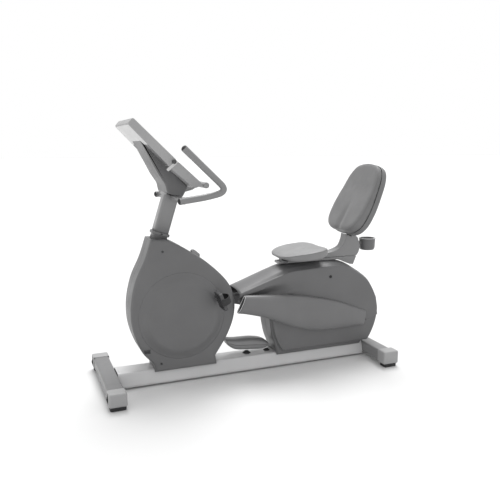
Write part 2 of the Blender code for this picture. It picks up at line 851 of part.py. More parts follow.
def front_housing():
    outline = front_outline()
    mouth = box(
        "mast_mouth", (MAST_DEPTH + 0.010, MAST_WIDTH + 0.004, 0.12), MAST_FOOT, None,
        rotation=(0, mast_lean(), 0),
    )
    axle_hole = cylinder(
        "axle_hole", AXLE_RADIUS + 0.0035, 0.30, CRANK_CENTRE, None, sides=24
    )
    inlet_hole = box("inlet_hole", (0.033, 0.060, 0.022), INLET_CENTRE, None)
    saddle = beam_saddle("front_saddle")
    for hand, side in SIDES:
        half = cover_half("front_shell_" + hand, outline, FRONT_HALF_WIDTH, side, "panel_plastic")
        cut(half, mouth, axle_hole, saddle)
        if side < 0:
            cut(half, inlet_hole)
    inlet = box(
        "power_inlet", (0.032, 0.016, 0.021), INLET_CENTRE + Vector((0, 0.0095, 0)),
        "dark_plastic", 0.002,
    )
    recess = box("inlet_recess", (0.024, 0.016, 0.013), INLET_CENTRE, None)
    cut(inlet, recess)


def rear_outline():
    """The broad round side of the rear housing, with its top a little inside the shroud."""
    foot = BEAM_TOP - 0.012
    front_edge = smooth_line(
        [(0.175, 0.530), (0.118, 0.420), (0.090, 0.300), (0.104, 0.190), (0.132, 0.110)], steps=3
    )
    rear_edge = smooth_line(
        [(0.690, 0.098), (0.752, 0.150), (0.783, 0.240), (0.770, 0.275)], steps=3
    ) + smooth_line([(0.761, 0.285), (0.738, 0.360), (0.655, 0.468), (0.590, 0.525)], steps=3)
    base = [Vector((0.136, foot)), Vector((0.665, foot))]
    crown = [Vector((0.480, 0.552)), Vector((0.260, 0.556))]
    return front_edge + base + rear_edge + crown


def rear_housing():
    outline = rear_outline()
    post_hole = box("post_hole", (0.50, 0.050, 0.10), (0.320, 0, 0.560), None)
    saddle = beam_saddle("rear_saddle")
    for hand, side in SIDES:
        half = cover_half("rear_shell_" + hand, outline, REAR_HALF_WIDTH, side, "panel_plastic")
        cut(half, post_hole, saddle)


def shroud_rows():
    """Pairs of top and lower points, seen from the side, with how square each section is."""
    return (
        ((-0.098, 0.468), (-0.098, 0.395), 5.0),
        ((-0.030, 0.493), (-0.030, 0.395), 5.0),
        ((0.050, 0.525), (0.050, 0.392), 5.0),
        ((0.130, 0.556), (0.130, 0.385), 5.0),
        ((0.210, SHROUD_TOP - 0.002), (0.210, 0.370), 5.0),
        ((0.320, SHROUD_TOP), (0.320, 0.350), 5.0),
        ((0.450, SHROUD_TOP), (0.430, 0.325), 5.0),
        ((0.545, SHROUD_TOP - 0.010), (0.500, 0.312), 5.0),
        ((0.610, 0.540), (0.560, 0.300), 4.5),
        ((0.669, 0.479), (0.605, 0.290), 4.0),
        ((0.720, 0.412), (0.640, 0.280), 4.0),
        ((0.752, 0.360), (0.665, 0.272), 4.0),
        ((0.774, 0.305), (0.680, 0.266), 4.0),
        ((0.785, 0.262), (0.688, 0.262), 4.0),
    )


def top_shroud():
    """A hollow hood from the front housing back over the rear one, open underneath."""
    body = bmesh.new()
    rows = []
    steps = 14
    for top, low, power in shroud_rows():
        top, low = Vector(top), Vector(low)
        row = []
        for step in range(steps + 1):
            angle = math.pi * step / steps
            rise = max(math.sin(angle), 0.0) ** (2 / power)
            across = math.copysign(abs(math.cos(angle)) ** (2 / power), math.cos(angle))
            place = low + (top - low) * rise
            row.append(body.verts.new((place.x, -SHROUD_HALF_WIDTH * across, place.y)))
        rows.append(row)
    for first, second in zip(rows, rows[1:]):
        for i in range(steps):
            body.faces.new((first[i], first[i + 1], second[i + 1], second[i]))
    bmesh.ops.recalc_face_normals(body, faces=body.faces)
    if sum(face.normal.z for face in body.faces) < 0:
        bmesh.ops.reverse_faces(body, faces=body.faces)
    mesh = bpy.data.meshes.new("top_shroud")
    body.to_mesh(mesh)
    body.free()
    shroud = add_object("top_shroud", mesh, "panel_plastic")
    thicken(shroud, PANEL_WALL)
    cut(shroud, box("rail_hole", (0.320, 0.050, 0.08), (0.350, 0, SHROUD_TOP), None))
    shade(shroud)
    return shroud


def wing(name, side):
    """A long hollow side fin, open at its front end, that dies away to the rear."""
    # x, mid height, half height, outer y
    stations = (
        (-0.094, 0.398, 0.042, 0.142),
        (-0.040, 0.391, 0.047, 0.148),
        (0.060, 0.372, 0.060, 0.152),
        (0.200, 0.335, 0.084, 0.148),
        (0.340, 0.302, 0.090, 0.140),
        (0.500, 0.276, 0.074, 0.128),
        (0.672, 0.240, 0.038, 0.115),
    )
    inner = SHROUD_HALF_WIDTH + GAP
    wall = PANEL_WALL
    outside = []
    inside = []
    for index, (x, middle, half, outer) in enumerate(stations):
        lean = 0.020 * max(0.0, 1 - index / 2)
        outside.append(wing_ring(side, x, middle, half, inner, outer, lean))
        within = wing_ring(
            side, x, middle, half - 1.5 * wall, inner + wall, outer - 1.5 * wall, lean
        )
        inside.append(within)
    inside = inside[:-1]
    inside[0] = [point - Vector((GAP, 0, 0)) for point in inside[0]]
    return loft(name, [*reversed(inside), *outside], "panel_plastic")


def wing_ring(side, x, middle, half, inner, outer, lean):
    """A fin section: flat on the inside, bowed on the outside, its lower end leaning forward."""
    ring = []
    steps = 9
    for step in range(steps + 1):
        angle = math.pi * (step / steps - 0.5)
        height = math.sin(angle)
        bulge = max(math.cos(angle), 0.0) ** 0.6
        y = inner + (outer - inner) * (0.25 + 0.75 * bulge)
        ring.append(Vector((x + lean * height, side * y, middle + half * height)))
    ring.append(Vector((x + lean, side * inner, middle + half)))
    ring.insert(0, Vector((x - lean, side * inner, middle - half)))
    return ring


def step_pod():
    """The low streamlined link cover between the two housings."""
    stations = (
        (-0.152, 0.176, 0.006), (-0.135, 0.166, 0.020), (-0.090, 0.150, 0.031),
        (0.000, 0.143, 0.034), (0.060, 0.135, 0.030), (0.094, 0.130, 0.017), (0.104, 0.128, 0.006),
    )
    rings = []
    for x, middle, half in stations:
        width = 0.030 + half * 0.5
        ring = []
        for step in range(14):
            angle = math.tau * step / 14
            y = width * math.copysign(abs(math.cos(angle)) ** 0.7, math.cos(angle))
            z = half * math.copysign(abs(math.sin(angle)) ** 0.8, math.sin(angle))
            ring.append(Vector((x, y, middle + z)))
        rings.append(ring)
    return loft("step_pod", rings, "panel_plastic")


# ---------------------------------------------------------------- mast, handlebar, console
def mast():
    run = MAST_TOP - MAST_FOOT
    centre = (MAST_TOP + MAST_FOOT) / 2
    post = box_tube(
        "mast", MAST_DEPTH, MAST_WIDTH, run.length, TUBE_WALL, centre, "frame_paint",
        (0, mast_lean(), 0), corner=0.016,
    )
    cut(post, crossbar_hole("mast_crossbar_hole"))
    return post


def crossbar_hole(name):
    return cylinder(name, CROSS_TUBE_RADIUS + GAP, 0.50, CROSS_TUBE_CENTRE, None, sides=24)


def mast_collar():
    """A moulded collar around the mast where it leaves the front housing."""
    centre = MAST_FOOT + (MAST_TOP - MAST_FOOT).normalized() * 0.040
    outer = rounded_rectangle(MAST_DEPTH + 0.014, MAST_WIDTH + 0.014, 0.020)
    inner = rounded_rectangle(MAST_DEPTH + 2 * GAP, MAST_WIDTH + 2 * GAP, 0.016)
    return extruded(
        "mast_collar", [outer, inner], 0.014, centre, "panel_plastic", (0, mast_lean(), 0), 0.002
    )


def arm_route(side):
    corners = [
        (BAR_FRONT_X, 0.962), (-0.300, 0.982), (-0.212, 1.006), (-0.426, 1.209),
    ]
    line = fillet(corners, 0.040, steps=6, closed=False)
    return [Vector((p.x, side * BAR_Y, p.y)) for p in line]


def handlebar():
    for hand, side in SIDES:
        tube("handle_arm_" + hand, arm_route(side), BAR_RADIUS, "frame_paint", wall=0.0025)
        grip_plug("grip_cap_" + hand, arm_route(side)[-1], arm_route(side)[-2])
    half = BAR_Y - BAR_RADIUS - GAP
    reach = Vector((0, half, 0))
    tube(
        "handlebar_cross", [CROSS_TUBE_CENTRE - reach, CROSS_TUBE_CENTRE + reach],
        CROSS_TUBE_RADIUS, "frame_paint", wall=TUBE_WALL,
    )


def grip_plug(name, end, inner):
    """A rounded plug over a tube's open end."""
    outward = (end - inner).normalized()
    turn = outward.to_track_quat("Z", "Y").to_euler()
    profile = [
        (0, 0.010), (BAR_RADIUS - 0.006, 0.0085), (BAR_RADIUS - 0.001, 0.004),
        (BAR_RADIUS - 0.001, GAP), (0, GAP),
    ]
    cap = turned(name, profile, end, "rubber", axis="Z", sides=20)
    cap.rotation_euler = turn
    return cap


def casing(name, outline, width, rounding, mouth, finish):
    """A hollow moulding with one opening, on the side where it meets its neighbour."""
    made = side_plate(name, outline, width, 0, finish, rounding)
    space = inset([Vector(p) for p in outline], PANEL_WALL)
    room = side_plate(name + "_room", space, width - 2 * PANEL_WALL, 0, None)
    opening = box(name + "_mouth", (0.040, 0.050, 0.040), mouth, None)
    cut(made, room, opening)
    return made


def console():
    """The display head: a back cover on the mast, a body slab, a lower keypad and a book ledge."""
    width = 2 * CONSOLE_HALF_WIDTH
    body = fillet([(-0.645, 1.348), (-0.667, 1.317), (-0.505, 1.190), (-0.440, 1.150)], 0.006)
    casing("console_body", body, width, 0.004, Vector((-0.560, 0, 1.225)), "panel_plastic")
    keypad = fillet([(-0.4390, 1.1490), (-0.4750, 1.1180), (-0.360, 1.016), (-0.312, 1.034)], 0.006)
    keypad = casing(
        "console_keypad", keypad, width, 0.004, Vector((-0.425, 0, 1.065)), "panel_plastic"
    )
    back = fillet(
        [(-0.592, 1.2535), (-0.574, 1.199), (-0.514, 1.082), (-0.480, 1.036), (-0.474, 0.990),
         (-0.395, 0.966), (-0.368, 1.0210), (-0.480, 1.1190), (-0.508, 1.1870)],
        0.006,
    )
    cover = casing(
        "console_back", back, CONSOLE_BACK_WIDTH, 0.010, Vector((-0.435, 0, 0.975)), "dark_plastic"
    )
    cut(cover, crossbar_hole("console_crossbar_hole"))
    cylinder("book_ledge", 0.015, width - 0.020, (-0.2955, 0, 1.0300), "panel_plastic", rounding=0.003)
    display_lens()
    for index in range(KEY_COUNT):
        key_spring = empty(f"key_spring_{index + 1}", key_place(index)[0])
        hang(key_spring, console_key(index))
        cut(keypad, key_block(f"key_hole_{index + 1}", index, GAP, 0.020, None))


def on_face(start, end, share, lift):
    """A place a given share of the way down a console face, lifted off it."""
    along = Vector((end[0] - start[0], 0, end[1] - start[1]))
    up = Vector((0, 1, 0)).cross(along).normalized() * -1
    if up.z < 0:
        up = -up
    return Vector((start[0], 0, start[1])) + along * share + up * lift, math.atan2(along.z, along.x)


def display_lens():
    place, slope = on_face((-0.645, 1.348), (-0.440, 1.150), 0.50, 0.0015 + GAP)
    return box(
        "display_lens", (0.200, 0.290, 0.003), place, "display", 0.001, (0, -slope, 0)
    )


def key_place(index):
    """Where a key stands in the keypad, and the slope of the face there."""
    place, slope = on_face((-0.4390, 1.1490), (-0.312, 1.034), 0.45, 0.0005)
    place.y = (index - (KEY_COUNT - 1) / 2) * KEY_SPACING
    return place, slope


def key_block(name, index, clearance, height, finish, rounding=0.0):
    place, slope = key_place(index)
    size = (0.034 + 2 * clearance, 0.040 + 2 * clearance, height)
    return box(name, size, place, finish, rounding, (0, -slope, 0))


def console_key(index):
    """A push key that stands proud of its hole in the keypad."""
    return key_block(f"console_key_{index + 1}", index, 0.0, 0.009, "dark_plastic", 0.002)


# ---------------------------------------------------------------- seat
def seat_frame():
    """The sliding carriage, its low boom and the upright that carries the backrest."""
    low = SHROUD_TOP + GAP + RAIL_HEIGHT + GAP
    front = BACKREST_CENTRE + backrest_normal() * (BACKREST_THICKNESS / 2 + GAP)
    up = Vector((math.sin(BACKREST_TILT), 0, math.cos(BACKREST_TILT)))
    behind = [front + up * reach for reach in (-0.190, -0.020)]
    beyond = [behind[1] + backrest_normal() * 0.016, behind[0] + backrest_normal() * 0.018]
    outline = (
        [Vector((0.185, low)), Vector((0.185, low + 0.012)), Vector((0.440, low + 0.014))]
        + smooth_line(
            [(0.455, 0.621), (0.505, 0.631), (0.555, 0.651), (0.576, 0.690), (0.583, 0.724)],
            steps=3,
        )
        + [Vector((0.617, 0.7085))]
        + [Vector((p.x, p.z)) for p in behind + beyond]
        + smooth_line([(0.662, 0.700), (0.676, 0.655), (0.671, 0.618), (0.656, low)], steps=3)
    )
    frame = side_plate("seat_frame", outline, 0.062, 0, "frame_paint", 0.006)
    room = box("carriage_room", (0.400, 0.056, 0.030), (0.420, 0, low - 0.006), None)
    cut(frame, room)
    arm_room = fillet(
        [(0.520, low - 0.010), (0.625, low - 0.010), (0.655, 0.640), (0.640, 0.700), (0.600, 0.700)],
        0.010,
    )
    cut(frame, side_plate("arm_room", arm_room, 0.056, 0, None))
    return frame


def seat_pad():
    """A plain solid for the cushion: broad at the back, narrower at the nose."""
    half_length = SEAT_LENGTH / 2
    half_width = SEAT_WIDTH / 2
    outline = []
    steps = 24
    for step in range(steps):
        angle = math.tau * step / steps
        x = half_length * math.copysign(abs(math.cos(angle)) ** 0.75, math.cos(angle))
        narrowing = 1 - 0.16 * max(0.0, -x / half_length)
        y = half_width * math.copysign(abs(math.sin(angle)) ** 0.75, math.sin(angle)) * narrowing
        outline.append(Vector((x, y)))
    return extruded(
        "seat_pad", [outline], SEAT_THICKNESS, SEAT_CENTRE, "upholstery",
        (0, -SEAT_PITCH, 0), rounding=0.020, segments=2,
    )


def seat_lever():
    """The slider's release lever, under the front of the seat on the left."""
    centre = LEVER_PIVOT + Vector((0, -0.028, 0))
    return box("seat_lever", (0.024, 0.060, 0.010), centre, "dark_plastic", 0.003)


def backrest_normal():
    return Vector((math.cos(BACKREST_TILT), 0, -math.sin(BACKREST_TILT)))


def backrest_outline(shrink=0.0):
    """The back's face: widest below the middle, with a narrower round top and a flat foot."""
    half = [
        (0.0, -0.205), (0.100, -0.199), (0.160, -0.150), (0.180, -0.060), (0.171, 0.045),
        (0.153, 0.130), (0.104, 0.190), (0.0, 0.208),
    ]
    loop = half + [(-x, y) for x, y in reversed(half[1:-1])]
    return inset(smooth_line(loop, steps=2, closed=True), shrink)


def backrest_plate(name, finish, thickness, offset, shrink, rounding):
    """A slice of the backrest, its outline standing across the bike and leaning back."""
    place = BACKREST_CENTRE + backrest_normal() * offset
    turn = (math.pi / 2 - BACKREST_TILT, 0, -math.pi / 2)
    return extruded(
        name, [backrest_outline(shrink)], thickness, place, finish, turn, rounding, 2
    )


def backrest_shell():
    """A moulded back, hollow towards the pad."""
    offset = (BACKREST_THICKNESS - BACKREST_SHELL) / 2
    shell = backrest_plate(
        "backrest_shell", "panel_plastic", BACKREST_SHELL, offset, 0.0, 0.012
    )
    room = backrest_plate(
        "backrest_room", None, BACKREST_SHELL, offset - PANEL_WALL, 0.010, 0.0
    )
    cut(shell, room)
    return shell


def backrest_pad():
    offset = -(BACKREST_THICKNESS - BACKREST_PAD) / 2
    return backrest_plate("backrest_pad", "upholstery", BACKREST_PAD, offset, 0.002, 0.016)


def bottle_holder():
    """An open cup on an ear behind the seat's upright."""
    half = CUP_HEIGHT / 2
    wall = 0.003
    floor = wall - half
    corner = 4 * wall - half
    profile = [
        (0, floor), (CUP_RADIUS - 0.010, floor), (CUP_RADIUS - 0.003 - wall, corner),
        (CUP_RADIUS - wall, half), (CUP_RADIUS, half), (CUP_RADIUS - 0.003, corner),
        (CUP_RADIUS - 0.010, -half), (0, -half),
    ]
    cup = turned("bottle_holder", profile, CUP_CENTRE, "panel_plastic", axis="Z", sides=28)
    ear = box("cup_ear", (0.022, 0.024, 0.016), CUP_CENTRE + CUP_EAR_OFFSET, None, 0.001)
    join(cup, ear)
    return cup


def seat():
    seat_slide = empty("seat_slide", SEAT_CENTRE)
    hang(seat_slide, seat_frame(), seat_pad(), backrest_shell(), backrest_pad())
    hang(seat_slide, bottle_holder())
    lever_hinge = empty("seat_lever_hinge", LEVER_PIVOT)
    hang(lever_hinge, seat_lever())
    hang(seat_slide, lever_hinge)


def stand_over_origin():
    """Moves everything together, so that the origin lies under the middle of the bike."""
    bike_root = bpy.data.objects.new("bike_root", None)
    BIKE.objects.link(bike_root)
    bike_root.location = (CENTRE_SHIFT, 0, 0)
    for piece in [*BIKE.objects, *CUTTERS.objects]:
        if piece != bike_root and not piece.parent:
            piece.parent = bike_root


def build():
    floor_frame()
    front_upright()
    seat_post()
    drive()
    front_housing()
    rear_housing()
    top_shroud()
    for hand, side in SIDES:
        wing("wing_" + hand, side)
    step_pod()
    mast()
    mast_collar()
    handlebar()
    console()
    seat()
    stand_over_origin()


build()
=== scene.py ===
"""Studio view of the recumbent exercise bike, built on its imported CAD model."""

import json
import math

import bmesh
import bpy
import numpy as np
from mathutils import Matrix, Vector
from mathutils.bvhtree import BVHTree


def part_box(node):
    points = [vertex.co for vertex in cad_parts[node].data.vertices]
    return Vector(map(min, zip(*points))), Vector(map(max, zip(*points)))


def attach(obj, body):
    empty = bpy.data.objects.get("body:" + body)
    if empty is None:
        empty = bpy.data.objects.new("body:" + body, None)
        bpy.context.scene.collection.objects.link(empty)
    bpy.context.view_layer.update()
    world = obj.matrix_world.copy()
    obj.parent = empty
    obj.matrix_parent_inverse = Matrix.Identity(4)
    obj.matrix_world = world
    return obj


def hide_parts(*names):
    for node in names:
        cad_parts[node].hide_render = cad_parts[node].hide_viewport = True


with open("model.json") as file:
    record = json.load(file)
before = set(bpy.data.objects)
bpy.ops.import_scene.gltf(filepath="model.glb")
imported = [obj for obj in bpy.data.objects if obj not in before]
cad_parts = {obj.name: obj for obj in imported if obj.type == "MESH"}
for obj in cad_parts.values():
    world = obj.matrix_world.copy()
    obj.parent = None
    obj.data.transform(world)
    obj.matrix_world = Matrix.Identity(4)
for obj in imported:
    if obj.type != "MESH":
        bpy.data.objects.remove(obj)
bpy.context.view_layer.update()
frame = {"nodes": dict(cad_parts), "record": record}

# ---------------------------------------------------------------- driving values
# Every place below is from the point between the housings that the CAD starts from.
SHIFT = Vector((0.0183, 0.0, 0.0))
CAMERA_PLACE = Vector((-1.177, -2.914, 1.2125)) + SHIFT
CAMERA_YAW = math.radians(22.01)
CAMERA_PITCH = math.radians(9.89)
CAMERA_LENS = 42.38

SIDES = (("left", -1), ("right", 1))
SEAM_GAP = 0.0003
SEAM_CHAMFER = 0.0012
FRONT_HALF = 0.078
REAR_HALF = 0.074
FLANK_HALF = 0.092
SHROUD_HALF = 0.104
BEAM_TOP = 0.086
FRONT_FOOT = -0.780
REAR_FOOT = 0.730
INLET = (-0.592, -FRONT_HALF, 0.191)
CRANK = (-0.404, 0.0, 0.360)
CRANK_LENGTH = 0.200
CRANK_ANGLE = math.radians(24)
DISC_RADIUS = 0.227
PEDAL_Y = 0.158
PEDAL_TILT = math.radians(20)
PEDALS = {
    hand: (
        CRANK[0] - side * CRANK_LENGTH * math.cos(CRANK_ANGLE),
        side * PEDAL_Y,
        CRANK[2] - side * CRANK_LENGTH * math.sin(CRANK_ANGLE),
    )
    for hand, side in SIDES
}
BACK_TILT = math.radians(25)
SKY = 1.0

# Linear colours of the greys that the bike is made in; the pale one also stands for painted highlight in places.
PANEL = (0.116, 0.116, 0.118)
PAINT = (0.185, 0.185, 0.187)
TRIM = (0.300, 0.300, 0.302)
BEAM_PAINT = (0.480, 0.480, 0.484)
BAR_PAINT = (0.120, 0.120, 0.122)
FIN = (0.138, 0.138, 0.140)
VINYL = (0.188, 0.188, 0.190)
BLACK = (0.020, 0.020, 0.021)
# Pale grey, as on the clamp brackets. On the fin lips, the cup rim and the console's upper rear face it is a painted
# highlight that stands for the light on them.
PALE_AND_PAINTED_HIGHLIGHT = (0.520, 0.520, 0.520)


# ---------------------------------------------------------------- materials
class Recipe:
    """A material under construction: its nodes, its shader and short ways to add to them."""

    def __init__(self, name, colour, roughness, metallic=0.0):
        self.material = bpy.data.materials.new(name)
        self.material.use_nodes = True
        self.nodes = self.material.node_tree.nodes
        self.shader = self.nodes["Principled BSDF"]
        self.colour = colour
        self.roughness = roughness
        self.set("Base Color", (*colour, 1.0))
        self.set("Roughness", roughness)
        self.set("Metallic", metallic)
        self.place = self.add("ShaderNodeTexCoord").outputs["Object"]
        self.normal = None

    def add(self, kind, **settings):
        node = self.nodes.new(kind)
        for key, value in settings.items():
            setattr(node, key, value)
        return node

    def link(self, source, target):
        self.material.node_tree.links.new(source, target)

    def set(self, socket, value):
        self.shader.inputs[socket].default_value = value

    def noise(self, scale, detail=3.0, stretch=(1, 1, 1)):
        mapping = self.add("ShaderNodeMapping")
        mapping.inputs["Scale"].default_value = stretch
        self.link(self.place, mapping.inputs["Vector"])
        noise = self.add("ShaderNodeTexNoise")
        noise.inputs["Scale"].default_value = scale
        noise.inputs["Detail"].default_value = detail
        self.link(mapping.outputs["Vector"], noise.inputs["Vector"])
        return noise.outputs["Fac"]

    def cells(self, scale, feature="F1"):
        cells = self.add("ShaderNodeTexVoronoi", feature=feature)
        cells.inputs["Scale"].default_value = scale
        self.link(self.place, cells.inputs["Vector"])
        return cells.outputs["Distance"]

    def spread(self, source, low, high, start=0.35, end=0.65):
        """The source's middle range stretched to run from low to high."""
        spread = self.add("ShaderNodeMapRange", clamp=True)
        spread.inputs["From Min"].default_value = start
        spread.inputs["From Max"].default_value = end
        spread.inputs["To Min"].default_value = low
        spread.inputs["To Max"].default_value = high
        self.link(source, spread.inputs["Value"])
        return spread.outputs["Result"]

    def mottle(self, scale, amount, stretch=(1, 1, 1)):
        """Colour that drifts a little lighter and darker over the surface."""
        share = self.spread(self.noise(scale, stretch=stretch), 0.0, 1.0)
        mix = self.add("ShaderNodeMix", data_type="RGBA")
        mix.inputs[6].default_value = (*(c * (1 - amount) for c in self.colour), 1.0)
        mix.inputs[7].default_value = (*(c * (1 + amount) for c in self.colour), 1.0)
        self.link(share, mix.inputs[0])
        self.link(mix.outputs[2], self.shader.inputs["Base Color"])
        self.tint = mix.outputs[2]

    def rub(self, scale, amount):
        """Roughness that varies, as where hands and cloths have polished a surface."""
        low = self.roughness - amount
        high = self.roughness + amount
        self.link(self.spread(self.noise(scale), low, high), self.shader.inputs["Roughness"])

    def bump(self, height, strength, distance):
        bump = self.add("ShaderNodeBump")
        bump.inputs["Strength"].default_value = strength
        bump.inputs["Distance"].default_value = distance
        self.link(height, bump.inputs["Height"])
        if self.normal:
            self.link(self.normal, bump.inputs["Normal"])
        self.normal = bump.outputs["Normal"]
        self.link(self.normal, self.shader.inputs["Normal"])

    def worn_edges(self, amount, radius=0.0015):
        """Edges rubbed a little lighter, found by comparing the normal with a rounded one."""
        rounded = self.add("ShaderNodeBevel", samples=4)
        rounded.inputs["Radius"].default_value = radius
        flat = self.add("ShaderNodeNewGeometry")
        dot = self.add("ShaderNodeVectorMath", operation="DOT_PRODUCT")
        self.link(rounded.outputs["Normal"], dot.inputs[0])
        self.link(flat.outputs["Normal"], dot.inputs[1])
        edge = self.spread(dot.outputs["Value"], 1.0, 0.0, 0.90, 0.995)
        broken = self.add("ShaderNodeMath", operation="MULTIPLY")
        self.link(edge, broken.inputs[0])
        self.link(self.spread(self.noise(90), 0.15, 1.0), broken.inputs[1])
        mix = self.add("ShaderNodeMix", data_type="RGBA")
        mix.inputs[7].default_value = (*(min(1, c + amount) for c in self.colour), 1.0)
        self.link(broken.outputs[0], mix.inputs[0])
        self.link(self.tint, mix.inputs[6])
        self.link(mix.outputs[2], self.shader.inputs["Base Color"])


def moulded_plastic(name, colour, roughness=0.42):
    """Spark-eroded ABS: an even fine grain, with soft sink marks and drifting gloss."""
    made = Recipe(name, colour, roughness)
    made.mottle(7, 0.035)
    made.rub(11, 0.05)
    made.set("Specular IOR Level", 0.45)
    made.bump(made.noise(4.5, 1.0), 0.35, 0.0022)
    made.bump(made.noise(1500, 2.0), 0.16, 0.0004)
    made.worn_edges(0.05)
    return made.material


def painted_steel(name, colour):
    """Powder coat: a slightly pebbled film with a clear sheen."""
    made = Recipe(name, colour, 0.36)
    made.mottle(5, 0.03)
    made.rub(16, 0.05)
    made.set("Coat Weight", 0.18)
    made.set("Coat Roughness", 0.22)
    made.bump(made.noise(420, 3.0), 0.22, 0.0005)
    made.worn_edges(0.10)
    return made.material


def vinyl(name, colour):
    """Upholstery vinyl: small leather-like cells, creased more in places."""
    made = Recipe(name, colour, 0.50)
    made.mottle(9, 0.05)
    made.rub(14, 0.07)
    made.set("Sheen Weight", 0.12)
    made.set("Sheen Roughness", 0.5)
    made.bump(made.noise(60, 2.0), 0.18, 0.0012)
    made.bump(made.cells(520, "DISTANCE_TO_EDGE"), 0.30, 0.0006)
    return made.material


def rubber(name, colour=BLACK):
    made = Recipe(name, colour, 0.72)
    made.mottle(30, 0.25)
    made.rub(40, 0.08)
    made.bump(made.noise(900, 2.0), 0.25, 0.0005)
    return made.material


def machined(name, colour, roughness=0.30, stretch=(1, 1, 12)):
    """Bare metal with fine tool marks along one direction."""
    made = Recipe(name, colour, roughness, metallic=1.0)
    made.mottle(20, 0.06)
    made.rub(50, 0.08)
    made.bump(made.noise(260, 3.0, stretch), 0.12, 0.0004)
    return made.material


def smoked_lens(name):
    made = Recipe(name, (0.012, 0.014, 0.016), 0.10)
    made.mottle(3, 0.15)
    made.rub(6, 0.03)
    made.set("Coat Weight", 0.8)
    made.set("Coat Roughness", 0.04)
    return made.material


MATERIALS = {
    "panel_plastic": moulded_plastic("moulded_grey", PANEL),
    "dark_plastic": moulded_plastic("moulded_black", (0.058, 0.058, 0.060), 0.48),
    "trim_plastic": moulded_plastic("moulded_light", TRIM),
    "pale_plastic_and_painted_highlight": moulded_plastic("moulded_pale_and_painted_highlight", PALE_AND_PAINTED_HIGHLIGHT, 0.38),
    "fin_plastic": moulded_plastic("moulded_fin", FIN),
    "frame_paint": painted_steel("grey_powder_coat", PAINT),
    "beam_paint": painted_steel("silver_powder_coat", BEAM_PAINT),
    "bar_paint": painted_steel("dark_powder_coat", BAR_PAINT),
    "upholstery": vinyl("grey_vinyl", VINYL),
    # The backrest's vinyl is the seat's vinyl darkened by 0.72: painted shade that takes back the extra light falling
    # on the backrest's face.
    "upholstery_back_shaded": vinyl("back_vinyl_painted_shade", tuple(0.72 * c for c in VINYL)),
    "upholstery_dark": vinyl("welt_vinyl", tuple(0.6 * c for c in VINYL)),
    "rubber": rubber("black_rubber"),
    "steel": machined("turned_steel", (0.55, 0.55, 0.56)),
    "aluminium": machined("brushed_aluminium", (0.62, 0.62, 0.63), 0.34, (12, 1, 1)),
    "cast_iron": machined("cast_iron", (0.16, 0.16, 0.165), 0.55, (1, 1, 1)),
    "display": smoked_lens("smoked_lens"),
}

# ---------------------------------------------------------------- shapes
def smooth_line(points, steps=8, closed=False):
    """Points along a Catmull-Rom curve through the given ones."""
    given = np.array(points, float)
    if closed:
        guide = np.vstack([given[-1:], given, given[:2]])
    else:
        guide = np.vstack([2 * given[:1] - given[1:2], given, 2 * given[-1:] - given[-2:-1]])
    share = np.arange(steps)[:, None] / steps
    line = []
    for a, b, c, d in zip(guide, guide[1:], guide[2:], guide[3:]):
        line.append(
            b + (c - a) * share / 2 + (2 * a - 5 * b + 4 * c - d) * share**2 / 2
            + (3 * b - a - 3 * c + d) * share**3 / 2
        )
    if not closed:
        line.append(given[-1:])
    return np.vstack(line)


def rounded(corners, reach, steps=6, closed=True):
    """A polygon or route whose corners are bends that start a given reach before them."""
    corners = [np.array(corner, float) for corner in corners]
    line = []
    for i, corner in enumerate(corners):
        if not closed and i in (0, len(corners) - 1):
            line.append(corner)
            continue
        before = corners[i - 1] - corner
        after = corners[(i + 1) % len(corners)] - corner
        start = corner + before / np.linalg.norm(before) * reach
        end = corner + after / np.linalg.norm(after) * reach
        for t in np.linspace(0, 1, steps + 1):
            line.append((1 - t) ** 2 * start + 2 * t * (1 - t) * corner + t * t * end)
    return np.array(line)


def offset(outline, distance):
    """A closed outline moved inward by a distance."""
    forward = np.roll(outline, -1, 0) - outline
    forward /= np.linalg.norm(forward, axis=1)[:, None]
    left = np.stack([-forward[:, 1], forward[:, 0]], 1)
    inward = left + np.roll(left, 1, 0)
    inward /= np.linalg.norm(inward, axis=1)[:, None]
    x, y = outline.T
    turn = np.sign(np.sum(x * np.roll(y, -1) - y * np.roll(x, -1)))
    reach = np.clip(np.sum(inward * left, axis=1), 0.35, 1)
    return outline + turn * inward * (distance / reach)[:, None]


def edge_rows(outline, low, high, radius, steps=5):
    """Rings of a plate with both edges rounded: (across, along, level) for each point."""
    levels = []
    for step in range(steps + 1):
        turn = math.pi / 2 * step / steps
        levels.append((radius * (1 - math.sin(turn)), low + radius * (1 - math.cos(turn))))
    for step in range(steps + 1):
        turn = math.pi / 2 * step / steps
        levels.append((radius * (1 - math.cos(turn)), high - radius * (1 - math.sin(turn))))
    return [np.c_[offset(outline, back), np.full(len(outline), level)] for back, level in levels]


def lofted(rows, closed=True, caps=(True, True)):
    """Points and faces through rows of points, each row closed on itself or open."""
    count = len(rows[0])
    faces = []
    for row in range(len(rows) - 1):
        for i in range(count if closed else count - 1):
            j = (i + 1) % count
            faces.append((row * count + i, row * count + j, (row + 1) * count + j, (row + 1) * count + i))
    if caps[0]:
        faces.append(tuple(reversed(range(count))))
    if caps[1]:
        faces.append(tuple(range((len(rows) - 1) * count, len(rows) * count)))
    return np.vstack(rows), faces


SIDE_VIEW = np.array([(1, 0, 0), (0, 0, 1), (0, 1, 0)], float)


